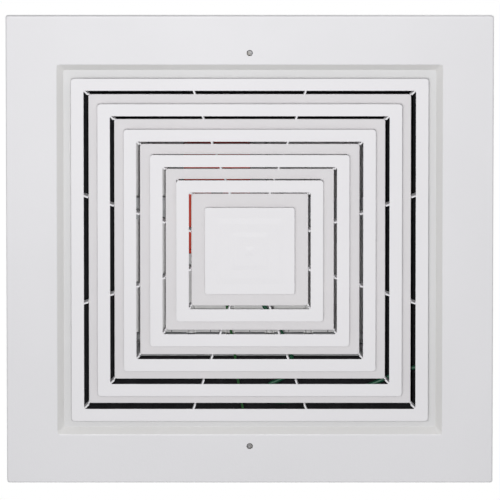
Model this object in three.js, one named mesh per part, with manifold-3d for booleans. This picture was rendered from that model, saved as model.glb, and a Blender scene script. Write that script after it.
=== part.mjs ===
// Square ceiling air diffuser with a removable slotted core and a motorised
// opposed-blade damper in its neck.
// Millimetres, +Z up, as installed: the face looks down and the ceiling's
// underside is the plane z = 0, with the origin at the centre of the face.

import * as THREE from 'three';
import { mergeVertices } from 'three/addons/utils/BufferGeometryUtils.js';
import Module from 'manifold-3d';

const wasm = await Module();
wasm.setup();

// Gaps between pieces
const seatGap = 0.3;
const runningGap = 0.5;

// Face frame
const faceHalf = 297.5;
const flangeDrop = 5;
const frameSheet = 1.2;
const faceCorner = 3;
const faceBend = 1.6;
const flangeWidth = 61.4;
const recessWallRun = 8.6;
const recessDepth = 5.8;
const recessCorner = 5;
const recessFootCorner = 2.6;
const ledgeWidth = 14.5;
const recessHalf = faceHalf - flangeWidth;
const recessFootHalf = recessHalf - recessWallRun;
const ledgeHalf = recessFootHalf - ledgeWidth;

// Core: flat lips in front and strips set back behind the slots
const ringCount = 5;
const lipLap = 5.2;
const lipOuterHalf = ledgeHalf + lipLap;
const lipSheet = 1.5;
const lipReturn = 5.4;
const lipCorner = 3.7;
const lipEdgeBreak = 0.4;
const firstLipStep = 0.8;
const lipStep = 0.78;
const firstSlot = 5.7;
const slotLoss = 0.75;
const stripSetback = 6;
const stripSheet = 1.2;
const stripCorner = 4.5;
const firstOverlap = 2.6;
const overlapLoss = 0.85;
const slotCorner = 2.6;
const sharpCorner = 0.5;
const centreHalf = 55.1;
const centreLap = 2.6;
const ringPitch = (lipOuterHalf - centreHalf - centreLap) / ringCount;
const lipShare = 0.48;
const lipWidth = ringPitch * lipShare;
const centreSheet = 1.5;
const centreCorner = 2.5;
const embossHalves = [42, 24, 6];
const embossStep = 0.3;
const embossSlope = 3;

// Spider of ribs that carries the core
const ribSheet = 2;
const ribBack = 7;
const ribEndGap = 2;
const hubRadius = 9;
const sideRibAngle = THREE.MathUtils.degToRad(18.7);
const cornerRibAngle = THREE.MathUtils.degToRad(45);

// Fixing screws through the flange
const fixingInset = 14.4;
const fixingHalf = recessHalf + fixingInset;
const fixingHole = 7.8;
const fixingHead = 7.2;
const fixingHeadHeight = 2;
const fixingHeadSink = 0.5;
const fixingShank = 4;
const fixingReach = 28;
const cupOuter = 14;
const crossSlot = 0.9;

// Gasket
const gasketMargin = 9.5;
const gasketWidth = 18;
const gasketOuterHalf = faceHalf - gasketMargin;
const gasketInnerHalf = gasketOuterHalf - gasketWidth;

// Pan behind the face
const panOverhang = 21;
const panHalf = ledgeHalf + panOverhang;
const panHeight = 45;
const panSheet = 1;
const panCorner = 14;
const panFootMargin = 1;
const panFootHalf = ledgeHalf + panFootMargin;
const liningThick = 6;
const mouthMargin = 0.6;

// Neck collar
const neckSize = 300;
const neckClearance = 1;
const collarSheet = 1.2;
const collarCorner = 4;
const collarTop = 152;
const collarFlangeWidth = 15;
const beadBelowTop = 12;
const beadHeight = 3;
const beadProud = 1.2;

// Damper
const damperBase = 88;
const damperHeight = 50;
const damperSheet = 1.2;
const damperLipWidth = 10;
const bladeCount = 6;
const bladeEndGap = 2.1;
const bladeEdgeGap = 1;
const bladeSheet = 1.2;
const bladeHem = 3;
const bladeTubeRadius = 4.5;
const shaftRadius = 3;
const shaftGap = 0.3;
const leverRadius = 6;
const leverPlate = 2;
const bushWall = 1.6;
const bushFlange = 1;
const bushFlangeRadius = 6.5;
const lugArm = 12;
const lugRadius = 2;
const lugBoss = 3.6;
const lugGap = 0.6;
const barSheet = 2;
const barHalfHeight = 18;
const barMargin = 3;
const barCorner = 4;
const swingStart = THREE.MathUtils.degToRad(45);

// Actuator
const actuatorWidth = 82;
const actuatorLength = 140;
const actuatorX = -40;
const actuatorEndY = 12;
const actuatorFront = 18;
const actuatorTop = 74;
const coverHeight = 30;
const actuatorCorner = 9;
const actuatorBevel = 2.5;
const spindleInset = 28;
const spindleRadius = 6;
const crankLift = 2.5;
const crankPlate = 4;
const crankBoss = 10;
const crankPinBoss = 6;
const crankPinRadius = 2.5;
const yokePlate = 2.5;
const yokeSide = 6;
const releaseRadius = 7;
const releaseProud = 2;
const releaseHeight = 8;
const releaseTravel = 3;
const releaseInset = 62;
const coverScrewRadius = 3;
const coverScrewInset = 9;

// Strap that carries the actuator
const strapWidth = 28;
const strapSheet = 2;
const strapTab = 18;
const strapFromEnd = 42;
const strapScrewSpread = 44;
const strapScrewDepth = 9;

// Cables above the core. Each point of a route is its X, its Y and how far it sags below the cables' level.
const cableLevel = 30;
const cableRadius = 2.5;
const earthRadius = 1.5;
const cableSides = 8;
const cableSteps = 42;
const earthSteps = 24;
const cableRoute = [
  [-10, 12, 0], [-8, 30, 2], [6, 60, 6], [28, 96, 8], [44, 124, 5.5], [51, 145, 1], [50.5, 160, 0],
  [44, 171, 0], [34, 177, 0], [25, 181.5, 0], [20, 188, 0.5], [20.5, 196.5, 1], [27, 202.5, 1.5],
  [36, 204, 1.5], [48, 203.5, 2], [72, 200, 3], [98, 195.5, 3], [124, 189.5, 2.5], [150, 181, 1],
  [173, 171, 0], [195, 162, 0], [218, 158, 0], [243, 158, 0],
];
const earthEndInset = 19;
const earthRoute = [
  [-34, 12, 0], [-33, 40, 3], [-27, 88, 6], [-19, 138, 3], [-15, panHalf - 62, 0.5],
  [-11, panHalf - 34, 0], [-8, panHalf - earthEndInset, 0],
];
const gromFlangeRadius = 9;
const gromGrooveRadius = 7;
const gromFlange = 2;
const clipSheet = 1;
const clipGrip = 10;
const clipWidth = 6;
const clipFoot = 9;
const clipPlay = 0.7;
const cableClipShares = [0.375, 0.89];

// Terminal box on the outside of the pan
const boxLength = 70;
const boxDepth = 30;
const boxHeight = 36;
const boxWall = 2;
const boxLid = 3;
const boxLevel = 26;

// Earth bolt in the pan's wall
const studX = -8;
const studRadius = 2.5;
const studDrop = 10;
const studReach = 8;
const studHead = 3.2;
const lugPlate = 1;
const lugBarrel = 2.6;

// Hangers on the pan
const hangerSpace = 11;
const hangerY = 118;
const hangerWidth = 30;
const hangerFoot = 26;
const hangerRise = 45;
const hangerTab = 26;
const hangerSheet = 2;
const hangerHoleRadius = 4.5;

// Rivets and small screws
const rivetRadius = 1.6;
const rivetHoleGap = 0.3;

// Facets
const cornerSteps = 3;
const arcSteps = 3;
const boreSteps = 5;
const roundSides = 14;
const smallSides = 8;

// Levels and places that follow from the sizes above
const flangeFront = -flangeDrop;
const flangeBack = flangeFront + frameSheet;
const ledgeFront = flangeFront + recessDepth;
const ledgeBack = ledgeFront + frameSheet;
const panFootLevel = ledgeBack + seatGap;
const panTop = panFootLevel + panHeight;
const panInner = panHalf - panSheet;
const liningTop = panTop - panSheet - seatGap;
const liningBottom = liningTop - liningThick;
const liningOuter = panInner - seatGap;
const collarOuter = neckSize / 2 - neckClearance;
const collarInner = collarOuter - collarSheet;
const collarFlangeOuter = collarOuter + collarFlangeWidth;
const liningMouthHalf = neckSize / 2;
const panMouthHalf = collarInner + mouthMargin;
const collarSeat = panTop + seatGap;
const damperOuter = collarInner - runningGap;
const damperInner = damperOuter - damperSheet;
const bladePitch = (2 * (damperInner - bladeEndGap)) / bladeCount;
const bladeChord = bladePitch - bladeEdgeGap;
const bladeAxis = damperBase + damperHeight / 2 - 1;
const bushFace = damperInner - seatGap - bushFlange;
const barOuterY = bushFace - runningGap;
const barInnerY = barOuterY - barSheet;
const leverOuterY = barInnerY - runningGap;
const leverInnerY = leverOuterY - leverPlate;
const bladeHalfLength = leverInnerY - runningGap;
const lugOffset = lugArm * Math.sin(swingStart);
const barTravel = 2 * lugOffset;
const actuatorStartY = actuatorEndY - actuatorLength;
const spindleY = actuatorStartY + spindleInset;
const crankLevel = actuatorTop + crankLift;
const yokeLevel = crankLevel + crankPlate + 1.5;
const strapY = actuatorEndY - strapFromEnd;
const strapLevel = actuatorTop + seatGap;
const ribOuterHalf = ledgeHalf - ribEndGap;
const hangerX = collarFlangeOuter + hangerSpace + hangerFoot / 2;

const lipOuter = (n) => lipOuterHalf - ringPitch * (n - 1);
const lipInner = (n) => lipOuter(n) - lipWidth;
const lipFront = (n) => flangeFront - firstLipStep - lipStep * (n - 1);
const lipBack = (n) => lipFront(n) + lipSheet;
const centreFront = lipFront(ringCount + 1);
const centreBack = centreFront + centreSheet;
const frontOuter = (n) => (n > ringCount ? centreHalf : lipOuter(n));
const stripOuter = (n) => lipInner(n - 1) - firstSlot + slotLoss * (n - 2);
const stripOverlap = (n) => (n > ringCount ? firstOverlap : firstOverlap - overlapLoss * (n - 2));
const stripInner = (n) => frontOuter(n) - stripOverlap(n);
const stripFront = (n) => lipFront(n - 1) + stripSetback;
const stripBack = (n) => stripFront(n) + stripSheet;
const bladeX = (n) => bladePitch * (n - (bladeCount + 1) / 2);

// Materials
const finish = (color, roughness, metalness) => new THREE.MeshStandardMaterial({ color, roughness, metalness });
const whitePaint = finish(0xe6e4e6, 0.45, 0.1);
const greyPaint = finish(0xd8d6d8, 0.5, 0.1);
const galvanised = finish(0xb9bcbc, 0.4, 0.9);
const zincSteel = finish(0xa9abad, 0.35, 0.9);
const springSteel = finish(0x8d9093, 0.3, 1);
const blackFoam = finish(0x17171a, 0.95, 0);
const greyFoam = finish(0x3a3c3f, 0.95, 0);
const orangeShell = finish(0xd8431a, 0.45, 0);
const blackShell = finish(0x1d1e20, 0.5, 0);
const whiteNylon = finish(0xe9e6dc, 0.5, 0);
const greyShell = finish(0xc9cbca, 0.55, 0);
const greenSheath = finish(0x1f7a4d, 0.5, 0);
const earthSheath = finish(0xa9b82a, 0.5, 0);
const blackRubber = finish(0x141414, 0.8, 0);
const brassPlate = finish(0xb58f3c, 0.35, 1);

// Solids from geometry, and back

function toSolid(geometry) {
  const bare = geometry.clone();
  bare.deleteAttribute('normal');
  bare.deleteAttribute('uv');
  const merged = mergeVertices(bare, 1e-4);
  const mesh = new wasm.Mesh({
    numProp: 3,
    vertProperties: new Float32Array(merged.attributes.position.array),
    triVerts: new Uint32Array(merged.index.array),
  });
  return new wasm.Manifold(mesh);
}

function toGeometry(solid) {
  const mesh = solid.getMesh();
  const geometry = new THREE.BufferGeometry();
  geometry.setAttribute('position', new THREE.BufferAttribute(new Float32Array(mesh.vertProperties), 3));
  geometry.setIndex(new THREE.BufferAttribute(new Uint32Array(mesh.triVerts), 1));
  geometry.computeVertexNormals();
  return geometry;
}

function join(geometries) {
  return toGeometry(geometries.map(toSolid).reduce((sum, next) => sum.add(next)));
}

function cut(geometry, cutters) {
  return toGeometry(cutters.map(toSolid).reduce((rest, next) => rest.subtract(next), toSolid(geometry)));
}

// A closed section swept round a square: each point is [half width, z, corner radius]
function squareSweep(section) {
  const positions = [];
  const index = [];
  const stations = 4 * (cornerSteps + 1);
  for (const [half, z, corner] of section) {
    const centre = half - corner;
    for (let quadrant = 0; quadrant < 4; quadrant += 1) {
      const turn = (quadrant * Math.PI) / 2;
      for (let step = 0; step <= cornerSteps; step += 1) {
        const angle = ((step / cornerSteps) * Math.PI) / 2;
        const x = centre + corner * Math.cos(angle);
        const y = centre + corner * Math.sin(angle);
        positions.push(x * Math.cos(turn) - y * Math.sin(turn), x * Math.sin(turn) + y * Math.cos(turn), z);
      }
    }
  }
  let area = 0;
  section.forEach(([half, z], i) => {
    const [nextHalf, nextZ] = section[(i + 1) % section.length];
    area += half * nextZ - nextHalf * z;
  });
  for (let i = 0; i < section.length; i += 1) {
    const ring = i * stations;
    const nextRing = ((i + 1) % section.length) * stations;
    for (let s = 0; s < stations; s += 1) {
      const t = (s + 1) % stations;
      const quad = [ring + s, ring + t, nextRing + t, nextRing + s];
      if (area < 0) {
        quad.reverse();
      }
      index.push(quad[0], quad[1], quad[2], quad[0], quad[2], quad[3]);
    }
  }
  const geometry = new THREE.BufferGeometry();
  geometry.setAttribute('position', new THREE.Float32BufferAttribute(positions, 3));
  geometry.setIndex(index);
  geometry.computeVertexNormals();
  return geometry;
}

// Extrusions whose shape's X and Y lie along two chosen axes
function extrude(shape, depth, curveSegments = arcSteps) {
  return new THREE.ExtrudeGeometry(shape, { depth, bevelEnabled: false, curveSegments });
}

function extrudeY(shape, y0, y1, curveSegments) {
  const geometry = extrude(shape, y1 - y0, curveSegments);
  geometry.rotateX(Math.PI / 2);
  geometry.translate(0, y1, 0);
  return geometry;
}

function extrudeX(shape, x0, x1, curveSegments) {
  const geometry = extrude(shape, x1 - x0, curveSegments);
  const basis = new THREE.Matrix4().makeBasis(
    new THREE.Vector3(0, 1, 0),
    new THREE.Vector3(0, 0, 1),
    new THREE.Vector3(1, 0, 0),
  );
  geometry.applyMatrix4(basis);
  geometry.translate(x0, 0, 0);
  return geometry;
}

function extrudeZ(shape, z0, z1, curveSegments) {
  const geometry = extrude(shape, z1 - z0, curveSegments);
  geometry.translate(0, 0, z0);
  return geometry;
}

function outline(points) {
  return new THREE.Shape(points.map(([x, y]) => new THREE.Vector2(x, y)));
}

function roundedRectangle(x0, y0, x1, y1, radius) {
  const shape = new THREE.Shape();
  shape.absarc(x1 - radius, y0 + radius, radius, -Math.PI / 2, 0, false);
  shape.absarc(x1 - radius, y1 - radius, radius, 0, Math.PI / 2, false);
  shape.absarc(x0 + radius, y1 - radius, radius, Math.PI / 2, Math.PI, false);
  shape.absarc(x0 + radius, y0 + radius, radius, Math.PI, (3 * Math.PI) / 2, false);
  shape.closePath();
  return shape;
}

// Two discs of different size joined by tangent lines, from the origin along a direction
function leverShape(length, rootRadius, tipRadius, direction) {
  const spread = Math.acos((rootRadius - tipRadius) / length);
  const tip = new THREE.Vector2(Math.cos(direction), Math.sin(direction)).multiplyScalar(length);
  const shape = new THREE.Shape();
  shape.absarc(0, 0, rootRadius, direction + spread, direction - spread + 2 * Math.PI, false);
  shape.absarc(tip.x, tip.y, tipRadius, direction - spread, direction + spread, false);
  shape.closePath();
  return shape;
}

// A cylinder between two heights along X, Y or Z
function rod(axis, radius, from, to, a, b, sides = roundSides) {
  const geometry = new THREE.CylinderGeometry(radius, radius, to - from, sides);
  const middle = (from + to) / 2;
  if (axis === 'x') {
    geometry.rotateZ(Math.PI / 2);
    geometry.translate(middle, a, b);
  } else if (axis === 'y') {
    geometry.translate(a, middle, b);
  } else {
    geometry.rotateX(Math.PI / 2);
    geometry.translate(a, b, middle);
  }
  return geometry;
}

function box(x0, x1, y0, y1, z0, z1) {
  const geometry = new THREE.BoxGeometry(x1 - x0, y1 - y0, z1 - z0);
  geometry.translate((x0 + x1) / 2, (y0 + y1) / 2, (z0 + z1) / 2);
  return geometry;
}

// A turned piece standing on Z: points are [radius, z], from axis to axis or closed
function turned(points, sides = smallSides) {
  const geometry = new THREE.LatheGeometry(points.map(([r, z]) => new THREE.Vector2(r, z)), sides);
  geometry.rotateX(Math.PI / 2);
  return geometry;
}

const model = new THREE.Group();

function add(name, geometry, material, parent = model) {
  const mesh = new THREE.Mesh(geometry, material);
  mesh.name = name;
  parent.add(mesh);
  return mesh;
}

// Face frame: flange with its returned edge, recess wall and ledge

function faceFrame() {
  const rise = recessDepth;
  const run = recessHalf - recessFootHalf;
  const wallShift = (frameSheet * (Math.hypot(rise, run) - run)) / rise;
  const inner = faceHalf - frameSheet;
  const bendHalfway = faceBend * (1 - Math.SQRT1_2);
  const pressed = squareSweep([
    [faceHalf, 0, faceCorner],
    [faceHalf, flangeFront + faceBend, faceCorner],
    [faceHalf - bendHalfway, flangeFront + bendHalfway, faceCorner - bendHalfway],
    [faceHalf - faceBend, flangeFront, faceCorner - faceBend],
    [recessHalf, flangeFront, recessCorner],
    [recessFootHalf, ledgeFront, recessFootCorner],
    [ledgeHalf, ledgeFront, recessCorner],
    [ledgeHalf, ledgeBack, recessCorner],
    [recessFootHalf + wallShift, ledgeBack, recessFootCorner],
    [recessHalf + wallShift, flangeBack, recessCorner],
    [inner, flangeBack, faceCorner - frameSheet],
    [inner, 0, faceCorner - frameSheet],
  ]);
  const holes = [-1, 1].map((side) => (
    rod('z', fixingHole / 2, flangeFront - 1, flangeBack + 1, 0, side * fixingHalf)
  ));
  return cut(pressed, holes);
}

function ceilingGasket() {
  const bottom = flangeBack + seatGap;
  return squareSweep([
    [gasketOuterHalf, bottom, faceCorner],
    [gasketInnerHalf, bottom, faceCorner],
    [gasketInnerHalf, 0, faceCorner],
    [gasketOuterHalf, 0, faceCorner],
  ]);
}

const headFront = flangeFront + fixingHeadSink;
const headBack = headFront + fixingHeadHeight;

function fixingScrew(side) {
  const head = fixingHead / 2;
  const shank = fixingShank / 2;
  const body = turned([
    [0, headFront],
    [head - 0.8, headFront],
    [head, headFront + 0.6],
    [head, headBack],
    [shank, headBack],
    [shank, fixingReach - 5],
    [0, fixingReach],
  ], roundSides);
  const reach = head * 0.62;
  const slots = [0, Math.PI / 2].map((turn) => {
    const slot = box(-reach, reach, -crossSlot / 2, crossSlot / 2, headFront - 1, headFront + 1.2);
    slot.rotateZ(turn);
    return slot;
  });
  return cut(body, slots).translate(0, side * fixingHalf, 0);
}

function screwCup(side) {
  const base = flangeBack + seatGap;
  const seat = headBack + seatGap;
  const bore = fixingHole / 2;
  const neck = fixingShank / 2 + seatGap;
  return turned([
    [cupOuter / 2, base],
    [cupOuter / 2, 0],
    [neck, 0],
    [neck, seat],
    [bore, seat],
    [bore, base],
    [cupOuter / 2, base],
  ], roundSides).translate(0, side * fixingHalf, 0);
}

add('face_frame', faceFrame(), whitePaint);
add('ceiling_gasket', ceilingGasket(), greyFoam);
[-1, 1].forEach((side, i) => {
  add(`fixing_screw_${i + 1}`, fixingScrew(side), zincSteel);
  add(`screw_cup_${i + 1}`, screwCup(side), zincSteel);
});

// Core

const core = new THREE.Group();
model.add(core);

// A lip is flat in front and its outer edge turns back towards the strip behind it
function lip(n) {
  const outer = lipOuter(n);
  const inner = lipInner(n);
  const front = lipFront(n);
  const back = lipBack(n);
  const returnInner = outer - lipSheet;
  return squareSweep([
    [outer, front + lipReturn, lipCorner],
    [outer, front + lipEdgeBreak, lipCorner],
    [outer - lipEdgeBreak, front, lipCorner - lipEdgeBreak],
    [inner + lipEdgeBreak, front, slotCorner + lipEdgeBreak],
    [inner, front + lipEdgeBreak, slotCorner],
    [inner, back, slotCorner],
    [returnInner, back, lipCorner - lipSheet],
    [returnInner, front + lipReturn, lipCorner - lipSheet],
  ]);
}

function strip(n) {
  return squareSweep([
    [stripOuter(n), stripBack(n), stripCorner],
    [stripOuter(n), stripFront(n), stripCorner],
    [stripInner(n), stripFront(n), sharpCorner],
    [stripInner(n), stripBack(n), sharpCorner],
  ]);
}

// The plate's two sides share one outline, so its embossed squares keep the sheet's thickness
function centrePlate() {
  const inner = centreHalf - centreSheet;
  const rim = centreFront + lipReturn;
  const block = extrudeZ(
    roundedRectangle(-centreHalf, -centreHalf, centreHalf, centreHalf, centreCorner),
    centreFront,
    rim,
  );
  const hollow = extrudeZ(
    roundedRectangle(-inner, -inner, inner, inner, centreCorner - centreSheet),
    centreBack,
    rim + 1,
  );
  const tray = cut(block, [hollow]);
  const steps = embossHalves.map((half, i) => {
    const base = centreFront - embossStep * i;
    const proud = new THREE.CylinderGeometry(half * Math.SQRT2, (half - embossSlope) * Math.SQRT2, embossStep, 4);
    proud.rotateX(-Math.PI / 2);
    proud.rotateZ(Math.PI / 4);
    proud.translate(0, 0, base - embossStep / 2);
    return proud;
  });
  return join([tray, ...steps]);
}

// A rib's front edge steps forward to each lip and back behind each strip.
// Its outline is drawn in ring coordinates (half widths), then stretched along the rib.
function rib(angle) {
  const lean = (ribSheet / 2) * Math.sin(angle);
  const points = [[ribOuterHalf, ribBack], [ribOuterHalf, lipBack(1) + seatGap]];
  for (let n = 2; n <= ringCount + 1; n += 1) {
    const lipLevel = lipBack(n - 1) + seatGap;
    const stripLevel = stripBack(n) + seatGap;
    const nextLevel = (n > ringCount ? centreBack : lipBack(n)) + seatGap;
    const outerStep = stripOuter(n) + seatGap;
    const innerStep = Math.min(stripInner(n), frontOuter(n) - lipSheet) - seatGap - lean;
    points.push([outerStep, lipLevel], [outerStep, stripLevel], [innerStep, stripLevel], [innerStep, nextLevel]);
  }
  points.push([0, centreBack + seatGap], [0, ribBack]);
  const stretch = 1 / Math.cos(angle);
  const shape = outline(points.map(([half, z]) => [half * stretch, z]));
  return extrudeY(shape, -ribSheet / 2, ribSheet / 2);
}

for (let n = 1; n <= ringCount; n += 1) {
  add(`lip_${n}`, lip(n), whitePaint, core);
  add(`strip_${n + 1}`, strip(n + 1), greyPaint, core);
}
add('centre_plate', centrePlate(), whitePaint, core);

const quarterTurns = [0, 1, 2, 3].map((quarter) => (quarter * Math.PI) / 2);
const cornerTurns = quarterTurns.map((turn) => turn + cornerRibAngle);
const sideTurns = quarterTurns.flatMap((turn) => [turn - sideRibAngle, turn + sideRibAngle]);

function coreSpider() {
  const hub = rod('z', hubRadius, centreBack + seatGap, ribBack, 0, 0);
  const corners = cornerTurns.map((turn) => rib(cornerRibAngle).rotateZ(turn));
  const sides = sideTurns.map((turn) => rib(sideRibAngle).rotateZ(turn));
  return join([hub, ...corners, ...sides]);
}

add('core_spider', coreSpider(), whitePaint, core);

// Backpan, lining and the clips that hold the core's corner ribs

const hangerPlaces = [[1, 1], [-1, 1], [-1, -1], [1, -1]];
const hangerRivetPlaces = hangerPlaces.flatMap(([sx, sy]) => (
  [-1, 1].map((side) => [sx * hangerX, sy * hangerY + side * hangerWidth * 0.27])
));
const collarRivetHalf = collarOuter + collarFlangeWidth * 0.55;
const collarRivetPlaces = [-1, 1].flatMap((side) => [-1, 1].flatMap((along) => [
  [side * collarRivetHalf, along * 80],
  [along * 80, side * collarRivetHalf],
]));
const grommetY = cableRoute[cableRoute.length - 1][1];
const studLevel = cableLevel - studDrop;

function rivetHoles(places, from, to) {
  return places.map(([x, y]) => rod('z', rivetRadius + rivetHoleGap, from, to, x, y, smallSides));
}

function backpan() {
  const foot = panFootLevel;
  const shell = squareSweep([
    [panFootHalf, foot, recessCorner - 2],
    [panHalf, foot, panCorner],
    [panHalf, panTop, panCorner],
    [panMouthHalf, panTop, collarCorner],
    [panMouthHalf, panTop - panSheet, collarCorner],
    [panInner, panTop - panSheet, panCorner - panSheet],
    [panInner, foot + panSheet, panCorner - panSheet],
    [panFootHalf, foot + panSheet, recessCorner - 2],
  ]);
  return cut(shell, [
    ...rivetHoles([...hangerRivetPlaces, ...collarRivetPlaces], panTop - panSheet - 1, panTop + 1),
    rod('x', gromGrooveRadius + seatGap, panInner - 2, panHalf + 2, grommetY, cableLevel),
    rod('y', studRadius + seatGap, panInner - 2, panHalf + 2, studX, studLevel),
  ]);
}

function panLining() {
  const bottom = panFootLevel + panSheet + seatGap;
  const inner = liningOuter - liningThick;
  const corner = panCorner - panSheet - seatGap;
  const foam = squareSweep([
    [liningOuter, bottom, corner],
    [liningOuter, liningTop, corner],
    [liningMouthHalf, liningTop, collarCorner],
    [liningMouthHalf, liningBottom, collarCorner],
    [inner, liningBottom, corner - liningThick],
    [inner, bottom, corner - liningThick],
  ]);
  return cut(foam, [
    rod('x', gromFlangeRadius + 1, inner - 2, liningOuter + 2, grommetY, cableLevel),
    box(studX - 8, studX + 8, inner - 2, liningOuter + 2, studLevel - 8, cableLevel + 5),
  ]);
}

function coreClip() {
  const jaw = ribSheet / 2 + seatGap;
  const outer = jaw + clipSheet;
  const webTop = ribBack + seatGap + clipSheet;
  const foot = panFootLevel + panSheet + seatGap;
  const reach = 4;
  const channel = [
    [-outer, foot], [-outer, webTop], [outer, webTop], [outer, foot],
    [jaw, foot], [jaw, webTop - clipSheet], [-jaw, webTop - clipSheet], [-jaw, foot],
  ];
  const hat = [
    [-outer - reach, foot], [-outer - reach, foot + clipSheet], [-outer, foot + clipSheet], [-outer, webTop],
    [outer, webTop], [outer, foot + clipSheet], [outer + reach, foot + clipSheet], [outer + reach, foot],
    [jaw, foot], [jaw, webTop - clipSheet], [-jaw, webTop - clipSheet], [-jaw, foot],
  ];
  const ribEnd = ribOuterHalf * Math.SQRT2;
  const footStart = panFootHalf * Math.SQRT2;
  return join([
    extrudeX(outline(channel), ribEnd - clipGrip, footStart + 0.5),
    extrudeX(outline(hat), footStart, footStart + 8),
  ]);
}

add('backpan', backpan(), galvanised);
add('pan_lining', panLining(), blackFoam);
cornerTurns.forEach((turn, i) => {
  add(`core_clip_${i + 1}`, coreClip(), springSteel).rotation.z = turn;
});

// Neck collar with its rolled bead and base flange

const strapRivetPlaces = [-1, 1].map((side) => [strapY + side * strapWidth * 0.25, strapLevel - strapTab * 0.55]);

function neckCollar() {
  const beadMid = collarTop - beadBelowTop;
  const seat = collarSeat;
  const tube = squareSweep([
    [collarFlangeOuter, seat, collarCorner + collarFlangeWidth / 3],
    [collarFlangeOuter, seat + collarSheet, collarCorner + collarFlangeWidth / 3],
    [collarOuter, seat + collarSheet, collarCorner],
    [collarOuter, beadMid - beadHeight, collarCorner],
    [collarOuter + beadProud, beadMid, collarCorner + beadProud],
    [collarOuter, beadMid + beadHeight, collarCorner],
    [collarOuter, collarTop, collarCorner],
    [collarInner, collarTop, collarCorner - collarSheet],
    [collarInner, beadMid + beadHeight, collarCorner - collarSheet],
    [collarInner + beadProud, beadMid, collarCorner],
    [collarInner, beadMid - beadHeight, collarCorner - collarSheet],
    [collarInner, seat, collarCorner - collarSheet],
  ]);
  const strapHoles = strapRivetPlaces.map(([y, z]) => (
    rod('x', rivetRadius + rivetHoleGap, -collarOuter - 2, collarOuter + 2, y, z, smallSides)
  ));
  return cut(tube, [...rivetHoles(collarRivetPlaces, seat - 1, seat + collarSheet + 1), ...strapHoles]);
}

add('neck_collar', neckCollar(), galvanised);

// Damper frame with its bearing collars, blades and their through shafts

const bladeNumbers = Array.from({ length: bladeCount }, (_, i) => i + 1);
const bladeSides = bladeNumbers.flatMap((n) => [-1, 1].map((side) => [bladeX(n), side]));

// A flanged nylon bush, pressed into the frame's web
function bladeBush([x, side]) {
  const bore = shaftRadius + shaftGap;
  const bush = turned([
    [bore, bushFace],
    [bushFlangeRadius, bushFace],
    [bushFlangeRadius, damperInner + damperSheet / 2],
    [bore + bushWall, damperInner + damperSheet / 2],
    [bore + bushWall, damperOuter],
    [bore, damperOuter],
    [bore, bushFace],
  ], smallSides);
  bush.rotateX(side > 0 ? -Math.PI / 2 : Math.PI / 2);
  return bush.translate(x, 0, bladeAxis);
}

function damperFrame() {
  const top = damperBase + damperHeight;
  const corner = collarCorner - collarSheet - runningGap;
  const shell = squareSweep([
    [damperOuter, damperBase, corner],
    [damperOuter, top, corner],
    [damperOuter - damperLipWidth, top, corner],
    [damperOuter - damperLipWidth, top - damperSheet, corner],
    [damperInner, top - damperSheet, corner - damperSheet],
    [damperInner, damperBase, corner - damperSheet],
  ]);
  const holes = bladeNumbers.map((n) => (
    rod('y', shaftRadius + shaftGap, -damperOuter - 2, damperOuter + 2, bladeX(n), bladeAxis, smallSides)
  ));
  return join([cut(shell, holes), ...bladeSides.map(bladeBush)]);
}

function blade() {
  const half = bladeChord / 2;
  const skin = bladeSheet / 2;
  const root = Math.asin(skin / bladeTubeRadius);
  const shape = new THREE.Shape();
  shape.moveTo(-half, -skin);
  shape.lineTo(-half + bladeHem, -skin);
  shape.absarc(0, 0, bladeTubeRadius, Math.PI + root, 2 * Math.PI - root, false);
  shape.lineTo(half - bladeHem, -skin);
  shape.lineTo(half, -skin);
  shape.lineTo(half, skin + bladeSheet);
  shape.lineTo(half - bladeHem, skin + bladeSheet);
  shape.lineTo(half - bladeHem, skin);
  shape.absarc(0, 0, bladeTubeRadius, root, Math.PI - root, false);
  shape.lineTo(-half + bladeHem, skin);
  shape.lineTo(-half + bladeHem, skin + bladeSheet);
  shape.lineTo(-half, skin + bladeSheet);
  shape.closePath();
  const bore = new THREE.Path();
  bore.absarc(0, 0, shaftRadius + shaftGap, 0, 2 * Math.PI, true);
  shape.holes.push(bore);
  return extrudeY(shape, -bladeHalfLength, bladeHalfLength, boreSteps);
}

// A through shaft with its lever at the driven end: the lug leans up or down in turn
function bladeShaft(n) {
  const up = n % 2 === 1 ? 1 : -1;
  const lean = Math.atan2(up * lugOffset, -lugOffset);
  const tip = damperOuter - seatGap;
  return join([
    rod('y', shaftRadius, -tip, tip, 0, 0, smallSides),
    extrudeY(leverShape(lugArm, leverRadius, lugBoss, lean), -leverOuterY, -leverInnerY, boreSteps),
    rod('y', lugRadius, -barOuterY - seatGap, -leverOuterY + 0.5, -lugOffset, up * lugOffset, smallSides),
    rod('y', leverRadius, leverInnerY, leverOuterY, 0, 0, smallSides),
  ]);
}

add('damper_frame', damperFrame(), galvanised);
for (const n of bladeNumbers) {
  const carrier = new THREE.Group();
  carrier.position.set(bladeX(n), 0, bladeAxis);
  model.add(carrier);
  add(`blade_${n}`, blade(), galvanised, carrier);
  add(`blade_shaft_${n}`, bladeShaft(n), zincSteel, carrier);
}

// Slide bar: one plate that turns every blade, with the yoke that the crank drives

const crankPinX = actuatorX - lugOffset;

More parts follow.
